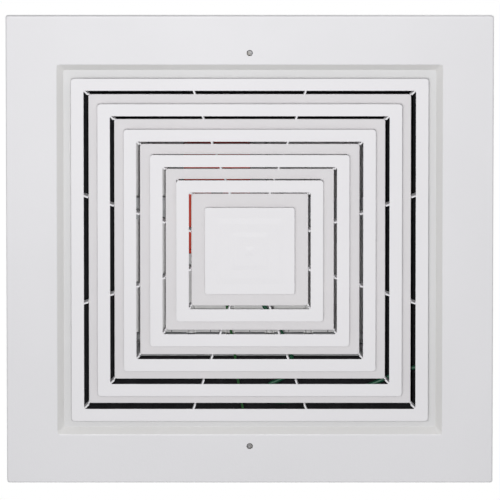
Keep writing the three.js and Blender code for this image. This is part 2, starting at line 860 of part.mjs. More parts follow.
function slideBar() {
  const slotHalf = shaftRadius + runningGap;
  const lugHalf = lugRadius + lugGap;
  const leftEnd = bladeX(1) - barTravel - slotHalf - barMargin;
  const rightEnd = bladeX(bladeCount) + slotHalf + barMargin;
  const plate = roundedRectangle(leftEnd, bladeAxis - barHalfHeight, rightEnd, bladeAxis + barHalfHeight, barCorner);
  for (const n of bladeNumbers) {
    const x = bladeX(n);
    const up = n % 2 === 1 ? 1 : -1;
    const shaftSlot = new THREE.Path();
    shaftSlot.absarc(x, bladeAxis, slotHalf, -Math.PI / 2, Math.PI / 2, false);
    shaftSlot.absarc(x - barTravel, bladeAxis, slotHalf, Math.PI / 2, (3 * Math.PI) / 2, false);
    shaftSlot.closePath();
    const lugSlot = new THREE.Path();
    const ends = [lugOffset, lugArm].map((offset) => bladeAxis + up * offset).sort((a, b) => a - b);
    lugSlot.absarc(x - lugOffset, ends[1], lugHalf, 0, Math.PI, false);
    lugSlot.absarc(x - lugOffset, ends[0], lugHalf, Math.PI, 2 * Math.PI, false);
    lugSlot.closePath();
    plate.holes.push(shaftSlot, lugSlot);
  }
  const pinHalf = crankPinRadius + lugGap;
  const armHalf = pinHalf + yokeSide;
  const armEnd = spindleY - lugOffset + pinHalf + yokeSide;
  const drop = box(
    crankPinX - armHalf, crankPinX + armHalf,
    -barOuterY, -barInnerY,
    yokeLevel, bladeAxis - barHalfHeight + barCorner,
  );
  const yoke = roundedRectangle(crankPinX - armHalf, -barOuterY, crankPinX + armHalf, armEnd, 1);
  const yokeSlot = new THREE.Path();
  yokeSlot.absarc(crankPinX, spindleY - lugOffset + runningGap, pinHalf, 0, Math.PI, false);
  yokeSlot.absarc(crankPinX, spindleY - lugArm - runningGap, pinHalf, Math.PI, 2 * Math.PI, false);
  yokeSlot.closePath();
  yoke.holes.push(yokeSlot);
  return join([
    extrudeY(plate, -barOuterY, -barInnerY),
    drop,
    extrudeZ(yoke, yokeLevel, yokeLevel + yokePlate),
  ]);
}

add('slide_bar', slideBar(), galvanised);

// Actuator: cover and base shells, spindle, crank and release button

const actuatorLeft = actuatorX - actuatorWidth / 2;
const actuatorRight = actuatorX + actuatorWidth / 2;
const coverTop = actuatorFront + coverHeight;
const releaseY = actuatorStartY + releaseInset;
const coverScrewPlaces = [-1, 1].flatMap((side) => [actuatorStartY + coverScrewInset, actuatorEndY - coverScrewInset]
  .map((y) => [actuatorX + side * (actuatorWidth / 2 - coverScrewInset), y]));
const strapScrewPlaces = [-1, 1].map((side) => [actuatorX + (side * strapScrewSpread) / 2, strapY]);

function shellBlock(z0, z1, bevelBelow) {
  const shape = roundedRectangle(
    actuatorLeft + actuatorBevel,
    actuatorStartY + actuatorBevel,
    actuatorRight - actuatorBevel,
    actuatorEndY - actuatorBevel,
    actuatorCorner - actuatorBevel,
  );
  const block = new THREE.ExtrudeGeometry(shape, {
    depth: z1 - z0,
    bevelEnabled: true,
    bevelThickness: actuatorBevel,
    bevelSize: actuatorBevel,
    bevelSegments: 2,
    curveSegments: arcSteps,
  });
  block.translate(0, 0, z0);
  const flat = bevelBelow ? [z1, z1 + 2 * actuatorBevel] : [z0 - 2 * actuatorBevel, z0];
  block.translate(0, 0, bevelBelow ? actuatorBevel : -actuatorBevel);
  const margin = 10;
  const trim = box(
    actuatorLeft - margin, actuatorRight + margin,
    actuatorStartY - margin, actuatorEndY + margin,
    flat[0], flat[1],
  );
  return cut(block, [trim]);
}

function actuatorCover() {
  const block = shellBlock(actuatorFront, coverTop, true);
  const pocket = rod(
    'z', releaseRadius + runningGap,
    actuatorFront - 1, actuatorFront - releaseProud + releaseHeight + releaseTravel + 1,
    actuatorX, releaseY,
  );
  const screws = coverScrewPlaces.map(([x, y]) => (
    rod('z', coverScrewRadius + runningGap, actuatorFront - 1, actuatorFront + 5, x, y, smallSides)
  ));
  const [cableX] = cableRoute[0];
  const [earthX] = earthRoute[0];
  const entries = [[cableX, cableRadius], [earthX, earthRadius]].map(([x, r]) => (
    rod('y', r + clipPlay, actuatorEndY - 8, actuatorEndY + 1, x, cableLevel)
  ));
  return cut(block, [pocket, ...screws, ...entries]);
}

function actuatorBase() {
  const block = shellBlock(coverTop + seatGap, actuatorTop, false);
  const bore = rod('z', spindleRadius + runningGap, coverTop + 6, actuatorTop + 1, actuatorX, spindleY);
  const screws = strapScrewPlaces.map(([x, y]) => (
    rod('z', rivetRadius + rivetHoleGap, actuatorTop - strapScrewDepth, actuatorTop + 1, x, y, smallSides)
  ));
  return cut(block, [bore, ...screws]);
}

function driveCrank() {
  const direction = Math.atan2(-lugOffset, -lugOffset);
  const shape = leverShape(lugArm, crankBoss, crankPinBoss, direction);
  const bore = new THREE.Path();
  bore.absarc(0, 0, spindleRadius + seatGap, 0, 2 * Math.PI, true);
  shape.holes.push(bore);
  const arm = extrudeZ(shape, crankLevel, crankLevel + crankPlate, boreSteps);
  const pin = rod(
    'z', crankPinRadius,
    crankLevel + crankPlate - 0.5, yokeLevel + yokePlate + seatGap,
    -lugOffset, -lugOffset,
  );
  return join([arm, pin]);
}

add('actuator_cover', actuatorCover(), orangeShell);
add('actuator_base', actuatorBase(), blackShell);

const drive = new THREE.Group();
drive.position.set(actuatorX, spindleY, 0);
model.add(drive);
const spindleBottom = coverTop + 6 + seatGap;
add('drive_spindle', rod('z', spindleRadius, spindleBottom, crankLevel + crankPlate + 0.5, 0, 0), zincSteel, drive);
add('drive_crank', driveCrank(), zincSteel, drive);

const releaseFront = actuatorFront - releaseProud;
const releaseButton = turned([
  [0, releaseFront],
  [releaseRadius - 0.8, releaseFront],
  [releaseRadius, releaseFront + 0.8],
  [releaseRadius, releaseFront + releaseHeight],
  [0, releaseFront + releaseHeight],
], roundSides);
add('release_button', releaseButton.translate(actuatorX, releaseY, 0), blackShell);

// Strap across the neck, its screws into the actuator and its rivets in the collar

function actuatorStrap() {
  const outer = collarInner - seatGap;
  const inner = outer - strapSheet;
  const top = strapLevel + strapSheet;
  const bottom = strapLevel - strapTab;
  const shape = outline([
    [-outer, bottom], [-inner, bottom], [-inner, strapLevel], [inner, strapLevel],
    [inner, bottom], [outer, bottom], [outer, top], [-outer, top],
  ]);
  const strap = extrudeY(shape, strapY - strapWidth / 2, strapY + strapWidth / 2);
  const screwHoles = rivetHoles(strapScrewPlaces, strapLevel - 1, top + 1);
  const rivetCuts = strapRivetPlaces.map(([y, z]) => (
    rod('x', rivetRadius + rivetHoleGap, -outer - 2, outer + 2, y, z, smallSides)
  ));
  return cut(strap, [...screwHoles, ...rivetCuts]);
}

add('actuator_strap', actuatorStrap(), galvanised);

// Cables: tubes along their routes, with ends square to what they enter

function routeCurve(route) {
  const start = new THREE.Vector3(route[0][0], actuatorEndY - 8 + seatGap, cableLevel);
  const points = route.map(([x, y, sag]) => new THREE.Vector3(x, y, cableLevel - sag));
  return new THREE.CatmullRomCurve3([start, ...points], false, 'centripetal');
}

function cable(route, radius, steps) {
  const ring = new THREE.Shape();
  ring.absarc(0, 0, radius, 0, 2 * Math.PI, false);
  const corners = ring.getSpacedPoints(cableSides).slice(0, cableSides);
  const section = new THREE.Shape(corners);
  return new THREE.ExtrudeGeometry(section, { steps, extrudePath: routeCurve(route), curveSegments: 1 });
}

function grommet() {
  const bore = cableRadius + seatGap;
  const inside = panInner - seatGap;
  const outside = panHalf + seatGap;
  const ring = turned([
    [bore, inside - gromFlange],
    [gromFlangeRadius, inside - gromFlange],
    [gromFlangeRadius, inside],
    [gromGrooveRadius, inside],
    [gromGrooveRadius, outside],
    [gromFlangeRadius, outside],
    [gromFlangeRadius, outside + gromFlange],
    [bore, outside + gromFlange],
    [bore, inside - gromFlange],
  ], roundSides);
  ring.rotateY(Math.PI / 2);
  return ring.translate(0, grommetY, cableLevel);
}

function cableClip(share) {
  const curve = routeCurve(cableRoute);
  const place = curve.getPointAt(share);
  const heading = curve.getTangentAt(share);
  const inner = cableRadius + clipPlay;
  const outer = inner + clipSheet;
  const foot = liningBottom - seatGap - place.z;
  const shape = new THREE.Shape();
  shape.absarc(0, 0, outer, Math.PI, 2 * Math.PI, false);
  shape.lineTo(outer, foot - clipSheet);
  shape.lineTo(outer + clipFoot, foot - clipSheet);
  shape.lineTo(outer + clipFoot, foot);
  shape.lineTo(inner, foot);
  shape.absarc(0, 0, inner, 2 * Math.PI, Math.PI, true);
  shape.lineTo(-inner, foot - clipSheet);
  shape.lineTo(-outer, foot - clipSheet);
  shape.closePath();
  const clip = extrudeY(shape, -clipWidth / 2, clipWidth / 2);
  clip.rotateZ(Math.atan2(heading.y, heading.x) - Math.PI / 2);
  return clip.translate(place.x, place.y, place.z);
}

add('control_cable', cable(cableRoute, cableRadius, cableSteps), greenSheath);
add('earth_wire', cable(earthRoute, earthRadius, earthSteps), earthSheath);
add('cable_grommet', grommet(), blackRubber);
cableClipShares.forEach((share, i) => {
  add(`cable_clip_${i + 1}`, cableClip(share), whiteNylon);
});

// Terminal box and lid on the outside of the pan

const boxInner = panHalf + seatGap + gromFlange + seatGap;
const boxOuterX = boxInner + boxDepth;

function terminalBox() {
  const y0 = grommetY - boxLength / 2;
  const y1 = grommetY + boxLength / 2;
  const z0 = boxLevel - boxHeight / 2;
  const z1 = boxLevel + boxHeight / 2;
  const back = panHalf + seatGap;
  const shell = extrudeX(roundedRectangle(y0, z0, y1, z1, 4), back, boxOuterX, 4);
  const inside = extrudeX(
    roundedRectangle(y0 + boxWall, z0 + boxWall, y1 - boxWall, z1 - boxWall, 3),
    boxInner + boxWall,
    boxOuterX + 1,
    4,
  );
  const grommetPocket = rod('x', gromFlangeRadius + runningGap, back - 1, boxInner, grommetY, cableLevel);
  const entry = rod('x', cableRadius + seatGap, back - 1, boxInner + boxWall + 1, grommetY, cableLevel);
  return cut(shell, [inside, grommetPocket, entry]);
}

function terminalLid() {
  const y0 = grommetY - boxLength / 2;
  const y1 = grommetY + boxLength / 2;
  const z0 = boxLevel - boxHeight / 2;
  const z1 = boxLevel + boxHeight / 2;
  const seat = boxOuterX + seatGap;
  const rim = boxWall + seatGap;
  const plate = extrudeX(roundedRectangle(y0, z0, y1, z1, 4), seat, seat + boxLid, 4);
  const plug = extrudeX(roundedRectangle(y0 + rim, z0 + rim, y1 - rim, z1 - rim, 2.5), seat - 2, seat + 0.5, 4);
  return join([plate, plug]);
}

add('terminal_box', terminalBox(), greyShell);
add('terminal_lid', terminalLid(), greyShell);

// Earth bolt, its nut outside the pan and the wire's crimped lug inside

const lugFace = panInner - seatGap - lugPlate;

function earthBolt() {
  const headTop = lugFace - seatGap;
  const bolt = turned([
    [0, headTop - studHead],
    [studRadius * 1.7, headTop - studHead],
    [studRadius * 1.7, headTop],
    [studRadius, headTop],
    [studRadius, panHalf + studReach],
    [0, panHalf + studReach],
  ]);
  bolt.rotateX(-Math.PI / 2);
  return bolt.translate(studX, 0, studLevel);
}

function earthNut() {
  const bore = (studRadius + seatGap) / Math.cos(Math.PI / 6);
  const seat = panHalf + seatGap;
  const nut = turned([
    [bore, seat],
    [studRadius * 1.9, seat],
    [studRadius * 1.9, seat + 4],
    [bore, seat + 4],
    [bore, seat],
  ], 6);
  nut.rotateX(-Math.PI / 2);
  return nut.translate(studX, 0, studLevel);
}

function earthLug() {
  const [, wireEnd] = earthRoute[earthRoute.length - 1];
  const eye = new THREE.Shape();
  eye.absarc(studX, studLevel, studRadius * 2, Math.PI, 2 * Math.PI, false);
  eye.lineTo(studX + lugBarrel, cableLevel + lugBarrel);
  eye.lineTo(studX - lugBarrel, cableLevel + lugBarrel);
  eye.closePath();
  const hole = new THREE.Path();
  hole.absarc(studX, studLevel, studRadius + seatGap, 0, 2 * Math.PI, true);
  eye.holes.push(hole);
  const tongue = extrudeY(eye, lugFace, lugFace + lugPlate, boreSteps);
  const barrel = rod('y', lugBarrel, wireEnd + seatGap, lugFace + lugPlate / 2, studX, cableLevel);
  return join([tongue, barrel]);
}

add('earth_bolt', earthBolt(), brassPlate);
add('earth_nut', earthNut(), brassPlate);
add('earth_lug', earthLug(), zincSteel);

// Hangers: folded lugs on the pan, each with a hole for a rod

function hanger([sx, sy]) {
  const foot = panTop + seatGap;
  const tab = foot + hangerRise;
  const t = hangerSheet;
  const shape = outline([
    [-hangerFoot / 2, 0], [hangerFoot / 2, 0], [hangerFoot / 2, hangerRise - t],
    [hangerFoot / 2 + hangerTab, hangerRise - t], [hangerFoot / 2 + hangerTab, hangerRise],
    [hangerFoot / 2 - t, hangerRise], [hangerFoot / 2 - t, t], [-hangerFoot / 2, t],
  ]);
  const strap = extrudeY(shape, -hangerWidth / 2, hangerWidth / 2);
  const holeX = hangerFoot / 2 + hangerTab / 2;
  const footHoles = [-1, 1].map((side) => (
    rod('z', rivetRadius + rivetHoleGap, -1, t + 1, 0, side * hangerWidth * 0.27, smallSides)
  ));
  const hole = rod('z', hangerHoleRadius, hangerRise - t - 1, hangerRise + 1, holeX, 0);
  const lug = cut(strap, [...footHoles, hole]);
  if (sx < 0) {
    lug.rotateZ(Math.PI);
  }
  return lug.translate(sx * hangerX, sy * hangerY, tab - hangerRise);
}

hangerPlaces.forEach((place, i) => {
  add(`hanger_${i + 1}`, hanger(place), galvanised);
});

export default model;
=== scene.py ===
# %% [markdown]
# # A square ceiling air diffuser
#
# The object is a slotted metal face for a 600 mm ceiling grid. A neck behind it carries a damper,
# an actuator turns the damper, and a black lined pan spreads the air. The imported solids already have
# their real sizes and places, so this lesson only dresses them: finishes, rounded edges, small
# fasteners, and the light and camera of a plain studio.

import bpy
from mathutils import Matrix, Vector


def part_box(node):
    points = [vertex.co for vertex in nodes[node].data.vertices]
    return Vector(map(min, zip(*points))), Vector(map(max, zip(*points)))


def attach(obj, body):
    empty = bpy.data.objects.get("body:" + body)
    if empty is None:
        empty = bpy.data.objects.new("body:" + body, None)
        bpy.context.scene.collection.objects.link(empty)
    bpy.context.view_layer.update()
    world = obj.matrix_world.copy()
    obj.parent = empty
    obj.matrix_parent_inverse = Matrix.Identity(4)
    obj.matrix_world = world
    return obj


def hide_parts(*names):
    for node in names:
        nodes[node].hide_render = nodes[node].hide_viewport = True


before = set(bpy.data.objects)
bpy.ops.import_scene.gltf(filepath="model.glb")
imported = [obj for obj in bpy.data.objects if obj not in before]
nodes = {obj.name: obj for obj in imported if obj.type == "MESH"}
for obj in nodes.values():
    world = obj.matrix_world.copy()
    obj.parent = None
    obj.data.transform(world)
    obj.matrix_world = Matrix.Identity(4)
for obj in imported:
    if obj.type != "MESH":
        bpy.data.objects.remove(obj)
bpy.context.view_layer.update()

# %% Modules, the unit, a full turn and two directions
import math

import bmesh
import bpy
from mathutils import Matrix, Vector

MM = 0.001
TURN = 2 * math.pi
UP = (0, 0, 1)
DOWN = (0, 0, -1)

# %% [markdown]
# A piece of the scene is a plain mesh. It rides on a body, and may stand in for some of the solids.
# Node trees for light, finishes and shapes share a few nodes.

# %% Place a mesh, tie it to a body, and do sums in a tree


def placed(name, data):
    item = bpy.data.objects.new(name, data)
    bpy.context.scene.collection.objects.link(item)
    return item


def placed_shape(name, shape, *finish):
    mesh = bpy.data.meshes.new(name)
    shape.to_mesh(mesh)
    shape.free()
    for material in finish:
        mesh.materials.append(material)
    return placed(name, mesh)


def carried(piece, body, slot, *replaced):
    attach(piece, body)
    if replaced:
        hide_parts(*replaced)


def add(tree, kind, inputs=(), **settings):
    """A new node. An input that is a socket gets linked, and any other is the input's value."""
    node = tree.nodes.new(kind)
    for name, value in settings.items():
        setattr(node, name, value)
    for name, value in dict(inputs).items():
        if isinstance(value, bpy.types.NodeSocket):
            tree.links.new(value, node.inputs[name])
        else:
            node.inputs[name].default_value = value
    return node


def number(tree, operation, *values):
    node = add(tree, "ShaderNodeMath", operation=operation)
    for socket, value in zip(node.inputs, values):
        if isinstance(value, (int, float)):
            socket.default_value = value
        else:
            tree.links.new(value, socket)
    return node.outputs[0]


def socket_of(sockets, kind, name):
    """Some nodes have sockets of several types under one name."""
    return next(s for s in sockets if s.type == kind and s.name == name)


def axes_of(tree, place):
    return add(tree, "ShaderNodeSeparateXYZ", {"Vector": place}).outputs


# %% [markdown]
# ## The view from below
#
# A ceiling diffuser is looked at from the room, so the camera hangs under the face and looks up at
# it. A very long lens from far away keeps the sides of the square parallel. A short lens would need
# less space, but it would pinch the far edge of the face.

# %% Camera
TILT = math.radians(16.5)
LENS = 1500
SENSOR = 36
DISTANCE = 25.46
NEAREST = 1
FARTHEST = 60
AIM = Vector((0.3, -0.2, -5)) * MM


def look_up_at_face():
    data = bpy.data.cameras.new("room_camera")
    data.lens = LENS
    data.sensor_width = SENSOR
    data.clip_start = NEAREST
    data.clip_end = FARTHEST
    camera = placed("room_camera", data)
    towards_camera = Vector((0, -math.sin(TILT), -math.cos(TILT)))
    camera.location = AIM + DISTANCE * towards_camera
    camera.rotation_euler = (-towards_camera).to_track_quat("-Z", "Y").to_euler()
    bpy.context.scene.camera = camera


look_up_at_face()
print("camera", DISTANCE, "m away,", round(math.degrees(TILT), 1), "degrees off the face's normal")

# %% [markdown]
# ## Soft light
#
# The light comes from beside the camera: all four walls of the recess are equally dim, and light
# reaches through the slots to the blades. So a small lamp stands near the camera's line of sight, a
# larger panel nearer to one corner makes the slow change of tone across the white, and the pale room
# fills the rest. Two panels over the ceiling are for views of the back. Room and floor look white to
# the camera and in reflections, but they light the object only softly. The floor lies deep down,
# because the long lens needs its room between the two.

# %% Lamps


def soft_panel(name, place, size, power):
    """A square lamp that faces the middle of the part."""
    data = bpy.data.lights.new(name, "AREA")
    data.shape = "SQUARE"
    data.size = size
    data.energy = power
    lamp = placed(name, data)
    lamp.location = place
    lamp.rotation_euler = (-Vector(place)).to_track_quat("-Z", "Y").to_euler()
    lamp.visible_camera = False


soft_panel("camera_side_lamp", (-0.05, -0.86, -3.2), 0.07, 50)
soft_panel("room_panel", (-0.12, -0.25, -1.2), 0.4, 3.3)
soft_panel("top_panel", (1.2, -1.6, 2.8), 1.6, 32)
soft_panel("top_fill", (-1.8, 1.6, 2.2), 1.6, 14)
bpy.context.scene.view_settings.view_transform = "Standard"
print(len(bpy.data.lights), "lamps")

# %% Room and floor: white to look at, dimmer as a light
ROOM_FILL = 0.3
FLOOR_LEVEL = -45
FLOOR_HALF = 300


def looking_rays(tree):
    """One for a ray of the camera, of a reflection or through glass, and nothing for a lighting ray."""
    rays = tree.nodes.new("ShaderNodeLightPath")
    found = rays.outputs["Is Camera Ray"]
    for kind in ("Is Glossy Ray", "Is Transmission Ray"):
        found = number(tree, "MAXIMUM", found, rays.outputs[kind])
    return found


def shown_or_lighting(tree, shown, lighting, target):
    """One shader for the rays that look at it, and another for the rays that carry light."""
    choose = add(tree, "ShaderNodeMixShader", {"Fac": looking_rays(tree)})
    tree.links.new(lighting, choose.inputs[1])
    tree.links.new(shown, choose.inputs[2])
    tree.links.new(choose.outputs[0], target.inputs["Surface"])


def glow(tree, kind, colour, strength):
    return add(tree, kind, {"Color": (*colour, 1), "Strength": strength}).outputs[0]


def pale_room():
    world = bpy.data.worlds.new("pale_room")
    world.use_nodes = True
    bpy.context.scene.world = world
    tree = world.node_tree
    tree.nodes.clear()
    shown = glow(tree, "ShaderNodeBackground", (1, 1, 1), 1)
    lighting = glow(tree, "ShaderNodeBackground", (0.97, 0.98, 1), ROOM_FILL)
    shown_or_lighting(tree, shown, lighting, tree.nodes.new("ShaderNodeOutputWorld"))


def pale_floor():
    """A floor far under the camera: it looks white, and it lights the object as plain pale paint."""
    corners = [(x * FLOOR_HALF, y * FLOOR_HALF, FLOOR_LEVEL) for x, y in ((-1, -1), (1, -1), (1, 1), (-1, 1))]
    mesh = bpy.data.meshes.new("floor")
    mesh.from_pydata(corners, [], [(0, 1, 2, 3)])
    floor = placed("floor", mesh)
    paint = bpy.data.materials.new("pale_floor")
    paint.use_nodes = True
    tree = paint.node_tree
    shader = tree.nodes["Principled BSDF"]
    shader.inputs["Base Color"].default_value = (0.95, 0.96, 0.97, 1)
    shader.inputs["Roughness"].default_value = 0.9
    shown = glow(tree, "ShaderNodeEmission", (1, 1, 1), 1)
    shown_or_lighting(tree, shown, shader.outputs[0], tree.nodes["Material Output"])
    mesh.materials.append(paint)


pale_room()
pale_floor()
print("floor", -FLOOR_LEVEL, "m below the face, room light", ROOM_FILL)

# %% [markdown]
# ## Paint, metal, plastic, foam and rubber
#
# Each finish is a small node tree that reads the object's own coordinates, in metres, so a grain
# of one millimetre stays one millimetre on every piece. Noise moves the colour and the gloss a
# little, and a bump node lifts the surface.

# %% Node helpers


def start_material(name, roughness, metallic=0.0):
    material = bpy.data.materials.new(name)
    material.use_nodes = True
    tree = material.node_tree
    shader = tree.nodes["Principled BSDF"]
    shader.inputs["Roughness"].default_value = roughness
    shader.inputs["Metallic"].default_value = metallic
    place = tree.nodes.new("ShaderNodeTexCoord")
    return material, tree, shader, place.outputs["Object"]


def stretched(tree, source, scale):
    return add(tree, "ShaderNodeMapping", {"Vector": source, "Scale": scale}).outputs["Vector"]


def noise(tree, source, scale, detail):
    inputs = {"Vector": source, "Scale": scale, "Detail": detail}
    return add(tree, "ShaderNodeTexNoise", inputs).outputs["Fac"]


def cells(tree, source, scale, output="Color"):
    return add(tree, "ShaderNodeTexVoronoi", {"Vector": source, "Scale": scale}).outputs[output]


def remap(tree, source, low, high, new_low=0, new_high=1):
    inputs = {"Value": source, "From Min": low, "From Max": high, "To Min": new_low, "To Max": new_high}
    return add(tree, "ShaderNodeMapRange", inputs).outputs["Result"]


def blend_colours(tree, factor, first, second):
    mix = add(tree, "ShaderNodeMix", {"Factor": factor}, data_type="RGBA")
    for name, colour in (("A", first), ("B", second)):
        target = socket_of(mix.inputs, "RGBA", name)
        if isinstance(colour, tuple):
            target.default_value = (*colour, 1)
        else:
            tree.links.new(colour, target)
    return socket_of(mix.outputs, "RGBA", "Result")


def tinted(tree, shader, field, first, second):
    tree.links.new(blend_colours(tree, field, first, second), shader.inputs["Base Color"])


def glossed(tree, shader, field, least, most):
    tree.links.new(remap(tree, field, 0.3, 0.7, least, most), shader.inputs["Roughness"])


def lift(tree, shader, height, depth, strength=1.0):
    bump = add(tree, "ShaderNodeBump", {"Height": height, "Distance": depth, "Strength": strength})
    tree.links.new(bump.outputs["Normal"], shader.inputs["Normal"])


# %% [markdown]
# ### Powder coat
#
# Sprayed powder melts into an even skin with a very fine orange peel. Two noises do it: a wide one
# that shifts the white by about one per cent, and a fine one for the peel.

# %% Powder-coated whites


def powder_coat(name, colour, shade=0.975, roughness=0.42, peel=0.00006):
    material, tree, shader, here = start_material(name, roughness)
    drift = noise(tree, here, 5, 3)
    darker = tuple(c * shade for c in colour)
    tinted(tree, shader, remap(tree, drift, 0.35, 0.65), colour, darker)
    glossed(tree, shader, noise(tree, here, 40, 2), roughness - 0.04, roughness + 0.05)
    lift(tree, shader, noise(tree, here, 700, 2), peel)
    return material


white_coat = powder_coat("white_powder_coat", (0.775, 0.765, 0.78))
lip_coat = powder_coat("lip_powder_coat", (0.81, 0.795, 0.81))
# The recess wall and the ledge belong to the frame's white sheet; their darker coats are painted shade of the
# recess.
wall_shade_coat = powder_coat("wall_powder_coat", (0.695, 0.685, 0.675), roughness=0.5)
ledge_shade_coat = powder_coat("ledge_powder_coat", (0.70, 0.695, 0.695), roughness=0.5)
strip_coat = powder_coat("strip_powder_coat", (0.72, 0.70, 0.71), roughness=0.5)

# %% [markdown]
# ### Galvanised sheet
#
# Hot zinc freezes into flat crystals, the spangle. A Voronoi texture gives each crystal its own
# grey and its own gloss, and long thin noise adds the marks of the rolling mill.

# %% Zinc finishes


def galvanised_sheet(name, dark, bright, spangle, metallic=0.65, roughness=0.5):
    material, tree, shader, here = start_material(name, roughness, metallic)
    crystal = cells(tree, here, spangle)
    split = add(tree, "ShaderNodeSeparateColor", {"Color": crystal})
    cloud = noise(tree, here, 9, 3)
    tone = blend_colours(tree, split.outputs["Red"], dark, bright)
    worn = tuple(c * 0.8 for c in dark)
    tinted(tree, shader, remap(tree, cloud, 0.3, 0.8, 0, 0.45), tone, worn)
    gloss = remap(tree, split.outputs["Green"], 0, 1, roughness - 0.1, roughness + 0.12)
    tree.links.new(gloss, shader.inputs["Roughness"])
    rolled = noise(tree, stretched(tree, here, (25, 900, 900)), 1, 2)
    lift(tree, shader, rolled, 0.00003)
    return material


def plated_steel(name, colour, roughness, metallic=1.0):
    material, tree, shader, here = start_material(name, roughness, metallic)
    film = noise(tree, here, 160, 3)
    warmer = tuple(c * k for c, k in zip(colour, (0.9, 0.84, 0.72)))
    tinted(tree, shader, remap(tree, film, 0.35, 0.75), colour, warmer)
    glossed(tree, shader, noise(tree, here, 900, 2), roughness - 0.06, roughness + 0.1)
    lift(tree, shader, noise(tree, here, 1400, 2), 0.00002)
    return material


galvanised = galvanised_sheet("galvanised_sheet", (0.41, 0.42, 0.43), (0.53, 0.54, 0.55), 95)
dull_galvanised = galvanised_sheet("dull_galvanised_sheet", (0.25, 0.255, 0.26), (0.34, 0.345, 0.35), 95)
blade_coat = powder_coat("blade_powder_coat", (0.87, 0.865, 0.86), roughness=0.5)
zinc_plate = plated_steel("zinc_plate", (0.60, 0.61, 0.63), 0.32)
# A darker copy of the plated steel, used for the fixing screws.
tarnished_steel = plated_steel("tarnished_steel", (0.25, 0.25, 0.26), 0.42)
spring_steel = plated_steel("spring_steel", (0.42, 0.43, 0.45), 0.28)
brass_plate = plated_steel("brass_plate", (0.72, 0.52, 0.22), 0.3)
blackened_steel = plated_steel("blackened_steel", (0.03, 0.03, 0.032), 0.45)


def sleeved_steel(name, steel, sleeve, sleeve_end):
    """Plated steel whose part below sleeve_end on Y is under a shrunk sleeve."""
    material, tree, shader, here = start_material(name, 0.4)
    bare = remap(tree, axes_of(tree, here)["Y"], sleeve_end - 0.3 * MM, sleeve_end)
    tinted(tree, shader, bare, sleeve, steel)
    tree.links.new(bare, shader.inputs["Metallic"])
    lift(tree, shader, noise(tree, here, 1100, 2), 0.00002)
    return material


sleeved_lug = sleeved_steel("sleeved_lug", (0.60, 0.61, 0.63), (0.02, 0.02, 0.022), 0.229)

# %% [markdown]
# ### Moulded plastic, foam and rubber
#
# A mould's spark-eroded wall leaves a fine even grain on plastic. Open foam is all small pits, so
# the distance to each Voronoi cell's centre sinks the surface there and darkens it, as painted shade in the
# pits.

# %% Plastics, foams and rubber


def moulded(name, colour, roughness=0.5, grain=0.00005, fade=0.93):
    material, tree, shader, here = start_material(name, roughness)
    flow = noise(tree, here, 18, 3)
    pale = tuple(c * fade for c in colour)
    tinted(tree, shader, remap(tree, flow, 0.35, 0.7), colour, pale)
    texture = noise(tree, here, 1300, 2)
    glossed(tree, shader, texture, roughness - 0.05, roughness + 0.08)
    lift(tree, shader, texture, grain)
    return material


def open_foam(name, colour, pit, pore):
    material, tree, shader, here = start_material(name, 0.96)
    shader.inputs["Specular IOR Level"].default_value = 0.15
    depth = cells(tree, here, 1 / pore, "Distance")
    patch = noise(tree, here, 60, 3)
    # The pit colour is painted shade inside the pores.
    tone = blend_colours(tree, remap(tree, depth, 0, 0.7), pit, colour)
    dusty = tuple(c * 1.6 for c in colour)
    tinted(tree, shader, remap(tree, patch, 0.4, 0.8, 0, 0.5), tone, dusty)
    lift(tree, shader, depth, pore * 0.5, 0.8)
    return material


def striped_sheath(name, first, second, share=0.42):
    """Two colours run along the wire: U goes once round the sheath."""
    material, tree, shader, here = start_material(name, 0.4)
    unrolled = add(tree, "ShaderNodeUVMap", uv_map="UVMap")
    wobble = remap(tree, noise(tree, here, 90, 1), 0, 1, -0.02, 0.02)
    shifted = number(tree, "ADD", axes_of(tree, unrolled.outputs[0])["X"], wobble)
    tinted(tree, shader, remap(tree, shifted, share, share + 0.02), first, second)
    lift(tree, shader, noise(tree, here, 900, 2), 0.00003)
    return material


orange_shell = moulded("orange_shell", (0.57, 0.04, 0.012))
black_shell = moulded("black_shell", (0.022, 0.022, 0.024), 0.45)
white_nylon = moulded("white_nylon", (0.80, 0.78, 0.71), 0.4)
grey_shell = moulded("grey_shell", (0.57, 0.58, 0.58), 0.5)
cable_sheath = moulded("cable_sheath", (0.009, 0.085, 0.04), 0.42)
earth_sheath = striped_sheath("earth_sheath", (0.28, 0.25, 0.03), (0.025, 0.11, 0.03))
black_rubber = moulded("black_rubber", (0.014, 0.014, 0.015), 0.75, 0.00008)
lining_foam = open_foam("lining_foam", (0.016, 0.016, 0.018), (0.004, 0.004, 0.004), 0.0012)
gasket_foam = open_foam("gasket_foam", (0.075, 0.078, 0.083), (0.02, 0.02, 0.022), 0.0009)
print(len(bpy.data.materials), "finishes")

# %% [markdown]
# ## Wires in the pan
#
# Two wires leave the actuator inside the pan: its control cable, and the earth wire that bonds its
# steel base to the pan. They are round sheaths along the routes of the solids, so a tube is swept
# along the same points. Its own UV map runs round the sheath and along it, because the stripe of an
# earth wire follows the wire.

# %% Routes of the two wires: X, Y and how far each point sags, in millimetres
WIRE_LEVEL = 30
WIRE_START_Y = 4.3
CONTROL_RADIUS = 2.5
EARTH_RADIUS = 1.5
CONTROL_ROUTE = (
    (-10, 12, 0), (-8, 30, 2), (6, 60, 6), (28, 96, 8), (44, 124, 5.5), (51, 145, 1), (50.5, 160, 0),
    (44, 171, 0), (34, 177, 0), (25, 181.5, 0), (20, 188, 0.5), (20.5, 196.5, 1), (27, 202.5, 1.5),
    (36, 204, 1.5), (48, 203.5, 2), (72, 200, 3), (98, 195.5, 3), (124, 189.5, 2.5), (150, 181, 1),
    (173, 171, 0), (195, 162, 0), (218, 158, 0), (243, 158, 0),
)
EARTH_ROUTE = (
    (-34, 12, 0), (-33, 40, 3), (-27, 88, 6), (-19, 138, 3), (-15, 172, 0.5), (-11, 200, 0), (-8, 215, 0),
)

# %% A smooth line through the points


